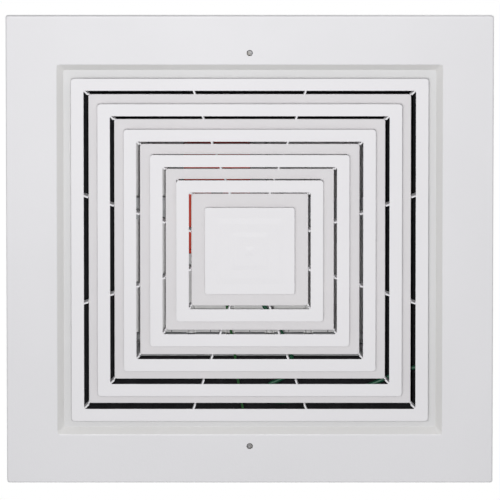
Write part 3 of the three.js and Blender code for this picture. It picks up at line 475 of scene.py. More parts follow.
def smooth_line(points, pieces=8):
    """A centripetal spline: it passes every point and never loops between two of them."""
    first = points[0] * 2 - points[1]
    last = points[-1] * 2 - points[-2]
    padded = [first, *points, last]
    line = []
    for a, b, c, d in zip(padded, padded[1:], padded[2:], padded[3:]):
        t1 = (b - a).length ** 0.5
        t2 = t1 + (c - b).length ** 0.5
        t3 = t2 + (d - c).length ** 0.5
        for step in range(pieces):
            t = t1 + (t2 - t1) * step / pieces
            ab = a.lerp(b, t / t1)
            bc = b.lerp(c, (t - t1) / (t2 - t1))
            cd = c.lerp(d, (t - t2) / (t3 - t2))
            abc = ab.lerp(bc, t / t2)
            bcd = bc.lerp(cd, (t - t1) / (t3 - t1))
            line.append(abc.lerp(bcd, (t - t1) / (t2 - t1)))
    return [*line, points[-1]]


def wire_points(route):
    start = Vector((route[0][0], WIRE_START_Y, WIRE_LEVEL))
    points = [start, *(Vector((x, y, WIRE_LEVEL - sag)) for x, y, sag in route)]
    return [p * MM for p in smooth_line(points)]


def length_of(line):
    return sum((b - a).length for a, b in zip(line, line[1:]))


# %% Sweep a round sheath along a line


def round_ring(shape, here, forward, radius, sides):
    """A circle of vertices about a point of a line, square to the line."""
    side = Vector(UP).cross(forward).normalized()
    up = forward.cross(side)
    turns = [TURN * k / sides for k in range(sides)]
    return [shape.verts.new(here + radius * (math.cos(t) * side + math.sin(t) * up)) for t in turns]


def sheath(name, line, radius, finish, sides=20):
    shape = bmesh.new()
    around = shape.loops.layers.uv.new("UVMap")
    rings = []
    run = [0.0]
    for a, b in zip(line, line[1:]):
        run.append(run[-1] + (b - a).length)
    for i, here in enumerate(line):
        forward = (line[min(i + 1, len(line) - 1)] - line[max(i - 1, 0)]).normalized()
        rings.append(round_ring(shape, here, forward, radius, sides))
    for i, (ring, ahead) in enumerate(zip(rings, rings[1:])):
        for k in range(sides):
            face = shape.faces.new((ring[k], ring[(k + 1) % sides], ahead[(k + 1) % sides], ahead[k]))
            face.smooth = True
            corners = ((k, run[i]), (k + 1, run[i]), (k + 1, run[i + 1]), (k, run[i + 1]))
            for loop, (u, v) in zip(face.loops, corners):
                loop[around].uv = (u / sides, v)
    shape.faces.new(reversed(rings[0]))
    shape.faces.new(rings[-1])
    bmesh.ops.recalc_face_normals(shape, faces=shape.faces)
    return placed_shape(name, shape, finish)


def fixed_wire(name, line, radius, finish, node, slot):
    piece = sheath(name, line, radius * MM, finish)
    carried(piece, "root", slot, node)
    print(name, round(length_of(line), 3), "m")


# %% [markdown]
# The control cable leaves the orange cover through a ribbed rubber sleeve. It tapers along the
# cable and follows the cable's bend, so that the cable can't be kinked at the shell.

# %% A ribbed sleeve on the cable
SLEEVE_START = 7.75
SLEEVE_BORE = 2.6
SLEEVE_FLANGE = 5.2
FLANGE_LENGTH = 2.4
RIBS = 6
RIB_PITCH = 3.8
RIB_LENGTH = 2.4
FIRST_RIB = 4.6
RIB_LOSS = 0.24
RIB_SLOPE = 0.2
GROOVE_DEPTH = 0.8
GROOVE_LENGTH = 1.2
CRISP_FOLD = 30


def place_along(line, distance):
    for a, b in zip(line, line[1:]):
        step = (b - a).length
        if distance <= step:
            return a.lerp(b, distance / step)
        distance -= step
    return line[-1]


def sleeve_section():
    """Distance along the cable and radius, out along the ribs and back along the bore."""
    flange_end = SLEEVE_START + FLANGE_LENGTH
    outside = [(SLEEVE_START, SLEEVE_FLANGE), (flange_end, SLEEVE_FLANGE)]
    for rib in range(RIBS):
        start = flange_end + GROOVE_LENGTH + rib * RIB_PITCH
        end = start + RIB_LENGTH
        top = FIRST_RIB - rib * RIB_LOSS
        foot = top - GROOVE_DEPTH
        outside += [(start - RIB_SLOPE, foot), (start, top), (end, top), (end + RIB_SLOPE, foot)]
    return outside + [(distance, SLEEVE_BORE) for distance, radius in reversed(outside)]


def strain_relief(name, line, finish, sides=28):
    shape = bmesh.new()
    rings = []
    for distance, radius in sleeve_section():
        here, behind, ahead = (place_along(line, (distance + step) * MM) for step in (0, -1, 1))
        rings.append(round_ring(shape, here, (ahead - behind).normalized(), radius * MM, sides))
    for ring, following in zip(rings, [*rings[1:], rings[0]]):
        for k in range(sides):
            after = (k + 1) % sides
            shape.faces.new((ring[k], ring[after], following[after], following[k]))
    bmesh.ops.recalc_face_normals(shape, faces=shape.faces)
    sleeve = placed_shape(name, shape, finish)
    sleeve.data.shade_smooth()
    sleeve.data.set_sharp_from_angle(angle=math.radians(CRISP_FOLD))
    carried(sleeve, "root", "black_rubber")
    print(name, len(sleeve.data.polygons), "faces")
    return sleeve


control_line = wire_points(CONTROL_ROUTE)
cable_sleeve = strain_relief("cable_strain_relief", control_line, black_rubber)
fixed_wire(
    "control_cable_sheath", control_line, CONTROL_RADIUS, cable_sheath, "control_cable", "green_sheath",
)
fixed_wire(
    "earth_wire_sheath", wire_points(EARTH_ROUTE), EARTH_RADIUS, earth_sheath, "earth_wire", "earth_sheath",
)

# %% [markdown]
# ## Pressed square rings
#
# The face frame, the five white lips, the grey strips behind the slots and the centre plate are all
# one idea: a bent section of sheet that runs round a square with rounded corners. One Geometry Nodes
# tree makes them all. The modifier's own object holds just the section, drawn as an open or closed
# line: X is the half width of the square at that point and Z its level. Each point also carries the
# radius of the square's corner there and the radius of the bend in the sheet.
#
# Curve to Mesh could sweep the section along a square rail, but every part of the section would
# then share one rail corner, and the inner edges would fold over themselves. So the tree only uses
# the sweep to get the faces, and works out each point's place from the two captured numbers.

# %% Parts that every tree needs
MERGE_DISTANCE = 0.004 * MM


def named_field(tree, name, kind="FLOAT"):
    node = add(tree, "GeometryNodeInputNamedAttribute", {"Name": name}, data_type=kind)
    return node.outputs["Attribute"]


def keep_numbers(tree, geometry, **fields):
    """Captures named fields on the points, and gives the geometry and the captured sockets."""
    node = add(tree, "GeometryNodeCaptureAttribute", {"Geometry": geometry}, domain="POINT")
    for name in fields:
        node.capture_items.new("FLOAT", name)
    for name, field in fields.items():
        tree.links.new(field, node.inputs[name])
    return node.outputs["Geometry"], {name: node.outputs[name] for name in fields}


def new_tree(name, inputs):
    tree = bpy.data.node_groups.new(name, "GeometryNodeTree")
    tree.interface.new_socket("Geometry", in_out="INPUT", socket_type="NodeSocketGeometry")
    for label, kind, value in inputs:
        socket = tree.interface.new_socket(label, in_out="INPUT", socket_type=kind)
        if value is not None:
            socket.default_value = value
    tree.interface.new_socket("Geometry", in_out="OUTPUT", socket_type="NodeSocketGeometry")
    return tree, tree.nodes.new("NodeGroupInput"), tree.nodes.new("NodeGroupOutput")


def finish_tree(tree, given, out, geometry):
    """Every tree ends in one way: real faces, merged, shaded smooth and given their finish."""
    for kind, inputs in (
        ("RealizeInstances", {}), ("MergeByDistance", {"Distance": MERGE_DISTANCE}),
        ("SetShadeSmooth", {}), ("SetMaterial", {"Material": given.outputs["Finish"]}),
    ):
        geometry = add(tree, f"GeometryNode{kind}", {"Geometry": geometry, **inputs}).outputs["Geometry"]
    tree.links.new(geometry, out.inputs["Geometry"])


# %% A tree for rings
CORNER_STEPS = 8
BEND_STEPS = 4
ROUNDING_GUARD = 0.01


def square_ring_tree():
    tree, given, out = new_tree("square_ring", (
        ("Corner Steps", "NodeSocketInt", CORNER_STEPS),
        ("Bend Steps", "NodeSocketInt", BEND_STEPS),
        ("Finish", "NodeSocketMaterial", None),
    ))
    section = add(tree, "GeometryNodeMeshToCurve", {"Mesh": given.outputs["Geometry"]})
    line, drawn = keep_numbers(tree, section.outputs["Curve"], corner=named_field(tree, "corner"))
    folds = {"Curve": line, "Count": given.outputs["Bend Steps"], "Radius": named_field(tree, "bend")}
    bend = add(tree, "GeometryNodeFilletCurve", folds, mode="POLY")
    axes = axes_of(tree, tree.nodes.new("GeometryNodeInputPosition").outputs[0])
    profile, kept = keep_numbers(tree, bend.outputs["Curve"], half=axes["X"], level=axes["Z"])

    stations = number(tree, "ADD", given.outputs["Corner Steps"], 1)
    around = {"Resolution": number(tree, "MULTIPLY", stations, 4)}
    circle = add(tree, "GeometryNodeCurvePrimitiveCircle", around, mode="RADIUS")
    index = tree.nodes.new("GeometryNodeInputIndex").outputs[0]
    rail, station = keep_numbers(tree, circle.outputs["Curve"], station=index)
    sweep = add(tree, "GeometryNodeCurveToMesh", {"Curve": rail, "Profile Curve": profile})

    guarded = number(tree, "ADD", station["station"], ROUNDING_GUARD)
    quarter = number(tree, "FLOOR", number(tree, "DIVIDE", guarded, stations))
    step = number(tree, "SUBTRACT", station["station"], number(tree, "MULTIPLY", quarter, stations))
    share = number(tree, "DIVIDE", step, given.outputs["Corner Steps"])
    angle = number(tree, "MULTIPLY", number(tree, "ADD", quarter, share), TURN / 4)
    middle = number(tree, "MULTIPLY", number(tree, "ADD", quarter, 0.5), TURN / 4)
    straight = number(tree, "SUBTRACT", kept["half"], drawn["corner"])
    place = add(tree, "ShaderNodeCombineXYZ", {"Z": kept["level"]})
    for axis, wave in (("X", "COSINE"), ("Y", "SINE")):
        side = number(tree, "SIGN", number(tree, wave, middle))
        arc = number(tree, "MULTIPLY", drawn["corner"], number(tree, wave, angle))
        tree.links.new(number(tree, "MULTIPLY_ADD", side, straight, arc), place.inputs[axis])
    moves = {"Geometry": sweep.outputs["Mesh"], "Position": place.outputs[0]}
    move = add(tree, "GeometryNodeSetPosition", moves)
    finish_tree(tree, given, out, move.outputs["Geometry"])
    return tree


ring_tree = square_ring_tree()
print(len(ring_tree.nodes), "nodes in the tree for square rings")

# %% Run a tree and keep a plain mesh
SOFT_FOLD = 38


def run_tree(carrier, tree, **values):
    """Sets the inputs by their identifiers, evaluates the tree and swaps in the plain mesh."""
    modifier = carrier.modifiers.new(tree.name, "NODES")
    modifier.node_group = tree
    for item in tree.interface.items_tree:
        if item.item_type == "SOCKET" and item.in_out == "INPUT" and item.name in values:
            modifier[item.identifier] = values[item.name]
    settle(carrier)


def settle(piece):
    """Turns the evaluated object into its own plain mesh, and drops the modifiers."""
    layers = bpy.context.evaluated_depsgraph_get()
    plain = bpy.data.meshes.new_from_object(piece.evaluated_get(layers), depsgraph=layers)
    plain.name = piece.name
    piece.modifiers.clear()
    piece.data = plain


def true_edges(piece, angle=SOFT_FOLD):
    """Sharp folds stay crisp and flat sheet stays flat: normals are weighted by face area."""
    shape = bmesh.new()
    shape.from_mesh(piece.data)
    bmesh.ops.recalc_face_normals(shape, faces=shape.faces)
    shape.to_mesh(piece.data)
    shape.free()
    piece.data.shade_smooth()
    piece.data.set_sharp_from_angle(angle=math.radians(angle))
    weighted = piece.modifiers.new("flat_faces", "WEIGHTED_NORMAL")
    weighted.keep_sharp = True
    settle(piece)


# %% Draw a section and sweep it


def square_ring(name, section, finish, closed=True, bend_steps=BEND_STEPS):
    """Each section point is (half width, level, corner radius, bend radius) in millimetres."""
    mesh = bpy.data.meshes.new(name)
    count = len(section)
    edges = [(i, (i + 1) % count) for i in range(count if closed else count - 1)]
    mesh.from_pydata([(half * MM, 0, level * MM) for half, level, corner, bend in section], edges, [])
    for label, column in (("corner", 2), ("bend", 3)):
        attribute = mesh.attributes.new(label, "FLOAT", "POINT")
        attribute.data.foreach_set("value", [point[column] * MM for point in section])
    piece = placed(name, mesh)
    run_tree(piece, ring_tree, **{"Corner Steps": CORNER_STEPS, "Bend Steps": bend_steps, "Finish": finish})
    true_edges(piece)
    return piece


def size_of(node):
    """Outer half width, lowest and highest level of a square node, in millimetres."""
    low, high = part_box(node)
    return high[0] / MM, low[2] / MM, high[2] / MM


# %% [markdown]
# ### The face frame
#
# One sheet gives the wide flange, the sloped wall of the recess and the ledge under the first slot.
# Press tools never leave a sharp fold, so every fold has a bend radius, and the outer edge rolls
# back into a short rim. The sloped wall and the ledge get darker copies of the white coat, as painted shade
# of the recess.

# %% Face frame
SHEET = 1.2
FLANGE_WIDTH = 61.4
WALL_RUN = 8.6
LEDGE_WIDTH = 14.5
SCREW_INSET = 14.4
SCREW_HOLE = 7.8
RECESS_EDGE = 0.8
LEVEL_NORMAL = 0.985
WALL_SHADE_FINISH = 1
LEDGE_SHADE_FINISH = 2


def face_frame_section():
    outer, front, ledge_back = size_of("face_frame")
    recess = outer - FLANGE_WIDTH
    foot = recess - WALL_RUN
    ledge = foot - LEDGE_WIDTH
    ledge_front = ledge_back - SHEET
    rise = ledge_front - front
    shift = SHEET * (math.hypot(rise, WALL_RUN) - WALL_RUN) / rise
    return (
        (outer, 0, 3, 0.3), (outer, front, 3, 1.9), (recess, front, 5, 2.6), (foot, ledge_front, 2.6, 1.6),
        (ledge, ledge_front, 5, 0.3), (ledge, ledge_back, 5, 0.3), (foot + shift, ledge_back, 2.6, 1),
        (recess + shift, front + SHEET, 5, 1.4), (outer - SHEET, front + SHEET, 1.8, 0.7),
        (outer - SHEET, 0, 1.8, 0.3),
    )


def cut_holes(piece, cutters):
    for cutter in cutters:
        hole = piece.modifiers.new(cutter.name, "BOOLEAN")
        hole.operation = "DIFFERENCE"
        hole.object = cutter
    settle(piece)
    for cutter in cutters:
        bpy.data.objects.remove(cutter)


def round_cutter(name, x, y, low, high, radius, sides=32):
    shape = bmesh.new()
    centre = Matrix.Translation(Vector((x, y, (low + high) / 2)) * MM)
    bmesh.ops.create_cone(
        shape, cap_ends=True, segments=sides, radius1=radius * MM, radius2=radius * MM,
        depth=(high - low) * MM, matrix=centre,
    )
    return placed_shape(name, shape)


frame_piece = square_ring("pressed_face_frame", face_frame_section(), white_coat)
frame_outer, frame_front, _ = size_of("face_frame")
screw_half = frame_outer - FLANGE_WIDTH + SCREW_INSET
cut_holes(frame_piece, [
    round_cutter(f"screw_hole_{side}", 0, side * screw_half, frame_front - 1, frame_front + 3, SCREW_HOLE / 2)
    for side in (-1, 1)
])
true_edges(frame_piece, CRISP_FOLD)
# Faces inside the recess get the darker coats: painted shade on the wall and the ledge.
frame_piece.data.materials.append(wall_shade_coat)
frame_piece.data.materials.append(ledge_shade_coat)
recess_shade_half = (frame_outer - FLANGE_WIDTH - RECESS_EDGE) * MM
for face in frame_piece.data.polygons:
    if max(abs(face.center.x), abs(face.center.y)) < recess_shade_half:
        face.material_index = LEDGE_SHADE_FINISH if abs(face.normal.z) > LEVEL_NORMAL else WALL_SHADE_FINISH
carried(frame_piece, "root", "white_paint", "face_frame")
print("face frame", len(frame_piece.data.polygons), "faces")

# %% [markdown]
# ### Lips and strips
#
# Each white lip is a thin flat sheet with rounded corners, and a grey strip lies some millimetres
# behind it, partly under the lip. The lips shrink by the same pitch each time, so two of them give
# the width of all. Their sheet is thinner than the frame's.

# %% White lips
LIPS = 5
LIP_SHEET = 0.9
LIP_SHARE = 0.48
pitch = size_of("lip_1")[0] - size_of("lip_2")[0]
lip_width = pitch * LIP_SHARE

for n in range(1, LIPS + 1):
    outer, front, _ = size_of(f"lip_{n}")
    inner = outer - lip_width
    back = front + LIP_SHEET
    lip = square_ring(f"rolled_lip_{n}", (
        (outer, back, 3.7, 0.1), (outer, front, 3.7, 0.15), (inner, front, 2.6, 0.4), (inner, back, 2.6, 0.3),
    ), lip_coat)
    carried(lip, "core", "white_paint", f"lip_{n}")
print(LIPS, "lips", round(lip_width, 1), "mm wide")

# %% Grey strips
OVERLAP = 2.6
OVERLAP_LOSS = 0.85
STRIP_TRIM = 0.3

for n in range(2, LIPS + 2):
    outer, front, back = size_of(f"strip_{n}")
    outer -= STRIP_TRIM
    covered_by = f"lip_{n}" if n <= LIPS else "centre_plate"
    overlap = OVERLAP - OVERLAP_LOSS * (n - 2) if n <= LIPS else OVERLAP
    inner = size_of(covered_by)[0] - overlap
    strip = square_ring(f"rolled_strip_{n}", (
        (outer, back, 3.2, 0.3), (outer, front, 3.2, 0.5), (inner, front, 0.5, 0.2), (inner, back, 0.5, 0.2),
    ), strip_coat, bend_steps=3)
    carried(strip, "core", "grey_paint", f"strip_{n}")
print(LIPS, "strips, the widest", round(2 * (size_of("strip_2")[0] - STRIP_TRIM), 1), "mm across")

# %% [markdown]
# ### The centre plate
#
# The plate in the middle is a shallow tray. Three squares are pressed into it, each standing a third
# of a millimetre proud of the last, and so soft that they only show as faint outlines. Its section
# starts on the axis, where all the points of a ring fall together and are merged.

# %% Centre plate
EMBOSSED = (42, 24, 6)
EMBOSS_STEP = 0.3
EMBOSS_SLOPE = 4
EMBOSS_SPREAD = 0.08
EMBOSS_BEND = 0.4
PLATE_FOLD = 2.2

plate_outer, plate_low, _ = size_of("centre_plate")
plate_front = plate_low + EMBOSS_STEP * len(EMBOSSED)
section = [(0, plate_low, 0, 0)]
for i, half in enumerate(reversed(EMBOSSED)):
    proud = plate_low + EMBOSS_STEP * i
    slope = EMBOSS_SLOPE + half * EMBOSS_SPREAD
    bend = slope * EMBOSS_BEND
    section.append((half - slope, proud, min(3, half / 4), bend))
    section.append((half, proud + EMBOSS_STEP, min(4, half / 3), bend))
plate_turned = plate_outer - LIP_SHEET
plate_back = plate_front + LIP_SHEET
plate_rim = plate_front + PLATE_FOLD
section += [
    (plate_outer, plate_front, 2.5, 0.8), (plate_outer, plate_rim, 2.5, 0.3),
    (plate_turned, plate_rim, 1, 0.3), (plate_turned, plate_back, 1, 0.3), (0, plate_back, 0, 0),
]
centre = square_ring("pressed_centre_plate", section, lip_coat, closed=False)
carried(centre, "core", "white_paint", "centre_plate")
print("centre plate", round(2 * plate_outer, 1), "mm across,", len(centre.data.polygons), "faces")

# %% [markdown]
# ## Rounded edges on folded and moulded pieces
#
# No real edge is a knife edge, and it is the thin highlight on a rounded one that makes sheet and
# plastic look real. A copy of each solid is merged, its flat faces are joined, and every edge that
# turns more than 40 degrees gets a small bevel.

# %% A softened copy
WELD_DISTANCE = 0.02
FLAT_ANGLE = 1
BEVEL_ANGLE = 40


def softened(node, made, radius, finish, body, slot, steps=2, cutters=()):
    """The piece's name says how it is made. Radius and steps are those of its rounded edges."""
    name = f"{made}_{node}"
    mesh = nodes[node].data.copy()
    mesh.name = name
    shape = bmesh.new()
    shape.from_mesh(mesh)
    bmesh.ops.remove_doubles(shape, verts=shape.verts, dist=WELD_DISTANCE * MM)
    bmesh.ops.dissolve_limit(
        shape, angle_limit=math.radians(FLAT_ANGLE), verts=shape.verts, edges=shape.edges, delimit=set(),
    )
    shape.to_mesh(mesh)
    shape.free()
    mesh.materials.clear()
    mesh.materials.append(finish)
    piece = placed(name, mesh)
    bevel = piece.modifiers.new("soft_edges", "BEVEL")
    bevel.width = radius * MM
    bevel.segments = steps
    bevel.limit_method = "ANGLE"
    bevel.angle_limit = math.radians(BEVEL_ANGLE)
    settle(piece)
    if cutters:
        cut_holes(piece, cutters)
    true_edges(piece)
    carried(piece, body, slot, node)
    print(name, len(piece.data.polygons), "faces")


# %% Sheet metal of the pan, neck and damper
HANGERS = 4

for node, made, radius, finish in (
    ("backpan", "folded", 0.35, galvanised),
    ("neck_collar", "rolled", 0.25, galvanised),
    ("damper_frame", "riveted", 0.25, dull_galvanised),
    ("actuator_strap", "folded", 0.5, galvanised),
    *((f"hanger_{n}", "folded", 0.5, galvanised) for n in range(1, HANGERS + 1)),
):
    softened(node, made, radius, finish, "root", "galvanised")
softened("slide_bar", "punched", 0.25, galvanised, "slide", "galvanised")
softened("drive_crank", "plated", 0.4, zinc_plate, "crank", "zinc_steel")

# %% Moulded plastic
softened("actuator_cover", "moulded", 0.7, orange_shell, "root", "orange_shell", steps=3)
softened("actuator_base", "moulded", 0.7, black_shell, "root", "black_shell", steps=3)
softened("release_button", "moulded", 0.4, black_shell, "release", "black_shell")
softened("terminal_lid", "moulded", 0.5, grey_shell, "root", "grey_shell")

# %% Terminal box with round grooves for its knock-outs
KNOCK_OUT_RADIUS = 9
GROOVE_WIDTH = 0.9
KNOCK_OUT_DEPTH = 0.7


def knock_out_cutter(name, place, turn):
    """A short tube whose mouth lies on a wall of the box."""
    tube = round_cutter(name, 0, 0, -KNOCK_OUT_DEPTH, 1, KNOCK_OUT_RADIUS, sides=48)
    core = round_cutter(
        f"{name}_core", 0, 0, -KNOCK_OUT_DEPTH - 1, 2, KNOCK_OUT_RADIUS - GROOVE_WIDTH, sides=48,
    )
    cut_holes(tube, [core])
    tube.data.transform(Matrix.Translation(Vector(place)) @ Matrix.Rotation(turn, 4, "X"))
    return tube


box_low, box_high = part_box("terminal_box")
box_middle = [(a + b) / 2 for a, b in zip(box_low, box_high)]
knock_outs = [
    knock_out_cutter("knock_out_left", (box_middle[0], box_low[1], box_middle[2]), TURN / 4),
    knock_out_cutter("knock_out_right", (box_middle[0], box_high[1], box_middle[2]), -TURN / 4),
    knock_out_cutter("knock_out_back", (box_middle[0], box_middle[1], box_high[2]), 0),
]
softened("terminal_box", "moulded", 0.5, grey_shell, "root", "grey_shell", cutters=knock_outs)

# %% [markdown]
# ### Seals between the blades
#
# Two neighbouring blades close edge to edge, and a thin strip on one of them covers the joint. Both
# edges of a joint rise together or sink together as the blades turn, and the strip lies on the side
# that they turn to, so it never meets the other blade. It ends short of the folded-in lip of the
# damper frame, which it passes when the blades stand open.

# %% Blade seals
BLADES = 6
BLADE_SKIN = 0.6
HEM = 1.2
SEAL_WIDTH = 4.4
SEAL_SHEET = 0.35
SEAL_END = 2.3
LAID_ON_GAP = 0.02
STRIP_ROUNDING = 0.1
BLADE_HALF_HEIGHT = 4.5


def flat_strip(name, low, high, finish):
    """A thin strip between two corners in millimetres, with its long edges rounded."""
    shape = bmesh.new()
    bmesh.ops.create_cube(shape, size=1)
    size = [b - a for a, b in zip(low, high)]
    middle = [(a + b) / 2 for a, b in zip(low, high)]
    bmesh.ops.scale(shape, verts=shape.verts, vec=Vector(size) * MM)
    bmesh.ops.translate(shape, verts=shape.verts, vec=Vector(middle) * MM)
    bmesh.ops.bevel(
        shape, geom=list(shape.edges), offset=STRIP_ROUNDING * MM, segments=1, affect="EDGES",
    )
    return placed_shape(name, shape, finish)


blade_boxes = [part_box(f"blade_{n}") for n in range(1, BLADES + 1)]
blade_level = (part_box("blade_1")[0][2] + BLADE_HALF_HEIGHT * MM) / MM
seal_above = blade_level + BLADE_SKIN + HEM + LAID_ON_GAP
seal_below = blade_level - BLADE_SKIN - LAID_ON_GAP - SEAL_SHEET
for n in range(1, BLADES):
    left, right = blade_boxes[n - 1], blade_boxes[n]
    joint = (left[1][0] + right[0][0]) / 2 / MM
    bottom = seal_above if n % 2 == 0 else seal_below
    seal = flat_strip(
        f"blade_seal_{n}", (joint - SEAL_WIDTH / 2, left[0][1] / MM + SEAL_END, bottom),
        (joint + SEAL_WIDTH / 2, left[1][1] / MM - SEAL_END, bottom + SEAL_SHEET), blade_coat,
    )
    carried(seal, f"damper_blade_{n}", "galvanised")
print(BLADES - 1, "blade seals")

# %% [markdown]
# ## Rivets and screws
#
# Small fasteners repeat, so one Geometry Nodes tree places them all. Its input is a handful of bare
# points, each with the direction in which the head looks. The tree sets a copy of the head on every
# point, turns it to that direction, and gives each a turn of its own about its axis, as a hand
# leaves them. Realize Instances at the end makes the copies plain faces.

# %% Turn a head on its axis
CROSS_LENGTH = 1.05
CROSS_WIDTH = 0.24
CROSS_FLOOR = 0.25


def turned_head(name, section, sides=20):
    """A closed head. The section is (radius, height) in millimetres, from the axis back to the axis."""
    shape = bmesh.new()
    rings = []
    for radius, height in section:
        count = sides if radius > 0 else 1
        turns = [TURN * k / sides for k in range(count)]
        rings.append([
            shape.verts.new(Vector((radius * math.cos(t), radius * math.sin(t), height)) * MM) for t in turns
        ])
    for below, above in zip(rings, rings[1:]):
        for k in range(sides):
            corners = [below[k % len(below)], below[(k + 1) % len(below)]]
            corners += [above[(k + 1) % len(above)], above[k % len(above)]]
            shape.faces.new(list(dict.fromkeys(corners)))
    bmesh.ops.recalc_face_normals(shape, faces=shape.faces)
    return placed_shape(name, shape)


def bar_cutter(name, length, width, low, high, turn):
    shape = bmesh.new()
    bmesh.ops.create_cube(shape, size=MM)
    bmesh.ops.scale(shape, verts=shape.verts, vec=(length, width, high - low))
    bmesh.ops.translate(shape, verts=shape.verts, vec=(0, 0, (low + high) / 2 * MM))
    bmesh.ops.rotate(shape, verts=shape.verts, matrix=Matrix.Rotation(turn, 3, "Z"))
    return placed_shape(name, shape)


def cross_head(name, radius, height):
    head = turned_head(name, (
        (0, -0.4), (radius * 0.7, -0.4), (radius * 0.7, 0), (radius, 0.05), (radius, height * 0.35),
        (radius * 0.86, height * 0.75), (radius * 0.55, height * 0.95), (0, height),
    ))
    cut_holes(head, [
        bar_cutter(
            f"{name}_slot_{k}", radius * CROSS_LENGTH, radius * CROSS_WIDTH, height * CROSS_FLOOR,
            height + 1, TURN / 4 * k,
        )
        for k in (0, 1)
    ])
    return head


rivet_head = turned_head("rivet_head", (
    (0, -0.3), (1.55, -0.3), (1.55, 0), (3.2, 0.02), (3.2, 0.3), (2.95, 0.7), (2.3, 1), (1.15, 1.15),
    (0.98, 1.05), (0.9, 0.75), (0, 0.7),
))
screw_head = cross_head("screw_head", 3.4, 2)
small_screw_head = cross_head("small_screw_head", 2.5, 1.5)

# %% A tree that sets heads on points
MOST_TURN = 3.14


def fastener_tree():
    tree, given, out = new_tree("fasteners", (
        ("Head", "NodeSocketObject", None),
        ("Most Turn", "NodeSocketFloat", MOST_TURN),
        ("Seed", "NodeSocketInt", 3),
        ("Finish", "NodeSocketMaterial", None),
    ))
    looks = {"Vector": named_field(tree, "looks", "FLOAT_VECTOR")}
    aim = add(tree, "FunctionNodeAlignRotationToVector", looks, axis="Z")
    chance = add(tree, "FunctionNodeRandomValue", {"Seed": given.outputs["Seed"]}, data_type="FLOAT")
    tree.links.new(given.outputs["Most Turn"], socket_of(chance.inputs, "VALUE", "Max"))
    angle = socket_of(chance.outputs, "VALUE", "Value")
    spin = add(tree, "FunctionNodeAxisAngleToRotation", {"Axis": UP, "Angle": angle})
    turns = {"Rotation": aim.outputs["Rotation"], "Rotate By": spin.outputs["Rotation"]}
    turn = add(tree, "FunctionNodeRotateRotation", turns, rotation_space="LOCAL")
    pattern = add(tree, "GeometryNodeObjectInfo", {"Object": given.outputs["Head"]})
    place = add(tree, "GeometryNodeInstanceOnPoints", {
        "Points": given.outputs["Geometry"], "Instance": pattern.outputs["Geometry"],
        "Rotation": turn.outputs["Rotation"],
    })
    finish_tree(tree, given, out, place.outputs["Instances"])
    return tree


heads_tree = fastener_tree()
print(len(heads_tree.nodes), "nodes in the tree for heads")


def fasteners(name, head, spots, looks, finish, seed):
    """Fixed heads on spots, in millimetres. Each looks along its own direction, or all along one."""
    mesh = bpy.data.meshes.new(name)
    mesh.from_pydata([Vector(spot) * MM for spot in spots], [], [])
    attribute = mesh.attributes.new("looks", "FLOAT_VECTOR", "POINT")
    directions = looks if isinstance(looks, list) else [looks] * len(spots)
    for item, direction in zip(attribute.data, directions):
        item.vector = direction
    piece = placed(name, mesh)
    run_tree(piece, heads_tree, Head=head, Seed=seed, Finish=finish)
    true_edges(piece, CRISP_FOLD)
    carried(piece, "root", "zinc_steel")
    print(name, len(spots), "heads,", len(piece.data.polygons), "faces")


# %% Rivets in the pan, the hangers and the neck
COLLAR_FACE = 48.8
COLLAR_OUTSIDE = 149
COLLAR_RIVET_HALF = 157.25
COLLAR_RIVET_ALONG = 80
HANGER_SHEET = 2
HANGER_X = 188
HANGER_Y = 118
HANGER_RIVET_SPREAD = 8.1
STRAP_Y = -30
STRAP_RIVET_SPREAD = 7
STRAP_RIVET_LEVEL = 64.4

collar_rivets = [
    spot
    for side in (-1, 1)
    for along in (-COLLAR_RIVET_ALONG, COLLAR_RIVET_ALONG)
    for spot in (
        (side * COLLAR_RIVET_HALF, along, COLLAR_FACE), (along, side * COLLAR_RIVET_HALF, COLLAR_FACE),
    )
]
fasteners("collar_rivets", rivet_head, collar_rivets, UP, zinc_plate, seed=3)

# %% Lap seam of the neck collar, with its own rivets
SEAM_SHEET = 0.8
SEAM_LOW = (-COLLAR_OUTSIDE - SEAM_SHEET, 118, 50.5)
SEAM_HIGH = (-COLLAR_OUTSIDE - LAID_ON_GAP, 138, 136)
SEAM_RIVET_LEVELS = (60, 77, 94, 111, 128)

seam = flat_strip("collar_lap_seam", SEAM_LOW, SEAM_HIGH, galvanised)
carried(seam, "root", "galvanised")
seam_middle = (SEAM_LOW[1] + SEAM_HIGH[1]) / 2
seam_rivets = [(SEAM_LOW[0], seam_middle, level) for level in SEAM_RIVET_LEVELS]
fasteners("seam_rivets", rivet_head, seam_rivets, (-1, 0, 0), zinc_plate, seed=19)

# %% Rivets of the hangers and of the actuator's strap
hanger_foot_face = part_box("hanger_1")[0][2] / MM + HANGER_SHEET
hanger_rivets = [
    (x * HANGER_X, y * HANGER_Y + step * HANGER_RIVET_SPREAD, hanger_foot_face)
    for x in (-1, 1) for y in (-1, 1) for step in (-1, 1)
]
fasteners("hanger_rivets", rivet_head, hanger_rivets, UP, zinc_plate, seed=5)
strap_rivets = [
    (side * COLLAR_OUTSIDE, STRAP_Y + step * STRAP_RIVET_SPREAD, STRAP_RIVET_LEVEL)
    for side in (-1, 1) for step in (-1, 1)
]
outwards = [(side, 0, 0) for side in (-1, -1, 1, 1)]
fasteners("strap_rivets", rivet_head, strap_rivets, outwards, zinc_plate, seed=7)

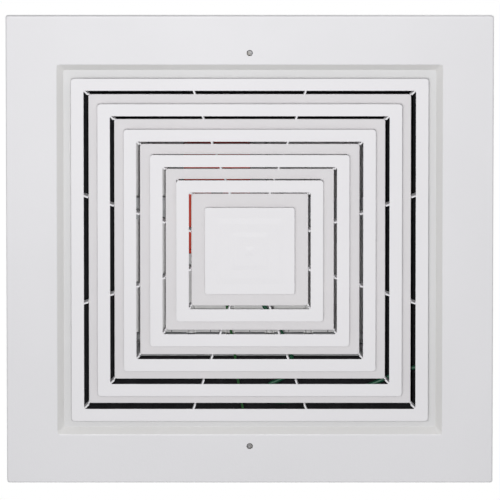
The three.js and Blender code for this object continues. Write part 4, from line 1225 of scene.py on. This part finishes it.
# %% Screws of the actuator and of the terminal lid
SCREW_SIDE = 15
SCREW_EDGE = 9
SCREW_SINK = 5
STRAP_SCREW_SPREAD = 22
LID_EDGE = 6

cover_low, cover_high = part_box("actuator_cover")
cover_x = (cover_low[0] + cover_high[0]) / 2 / MM
cover_screws = [
    (x, y, cover_low[2] / MM + SCREW_SINK)
    for x in (cover_low[0] / MM + SCREW_SIDE, cover_high[0] / MM - SCREW_SIDE)
    for y in (cover_low[1] / MM + SCREW_EDGE, cover_high[1] / MM - SCREW_EDGE)
]
fasteners("cover_screws", small_screw_head, cover_screws, DOWN, blackened_steel, seed=11)
strap_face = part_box("actuator_strap")[1][2] / MM
strap_screws = [(cover_x + side * STRAP_SCREW_SPREAD, STRAP_Y, strap_face) for side in (-1, 1)]
fasteners("strap_screws", screw_head, strap_screws, UP, zinc_plate, seed=13)
lid_low, lid_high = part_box("terminal_lid")
lid_screws = [
    (lid_high[0] / MM, y, z)
    for y in (lid_low[1] / MM + LID_EDGE, lid_high[1] / MM - LID_EDGE)
    for z in (lid_low[2] / MM + LID_EDGE, lid_high[2] / MM - LID_EDGE)
]
fasteners("lid_screws", small_screw_head, lid_screws, (1, 0, 0), zinc_plate, seed=17)
for head in (rivet_head, screw_head, small_screw_head):
    bpy.data.objects.remove(head)

# %% [markdown]
# ## Finishes on the carried-over solids
#
# The other solids already have their right shape, so they only change their material.

# %% Give each solid its finish
FINISHES = (
    ("core_spider", white_coat), ("ceiling_gasket", gasket_foam), ("pan_lining", lining_foam),
    ("drive_spindle", zinc_plate), ("cable_grommet", black_rubber), ("cable_clip_", white_nylon),
    ("earth_bolt", brass_plate), ("earth_nut", brass_plate), ("earth_lug", sleeved_lug),
    ("fixing_screw_", tarnished_steel), ("screw_cup_", zinc_plate), ("core_clip_", spring_steel),
    ("blade_shaft_", zinc_plate), ("blade_", blade_coat),
)

dressed = 0
for name, node in nodes.items():
    finish = next((material for start, material in FINISHES if name.startswith(start)), None)
    if finish:
        dressed += 1
        for slot in node.material_slots:
            slot.link = "OBJECT"
            slot.material = finish
print(dressed, "solids dressed,", len(nodes) - dressed, "replaced")
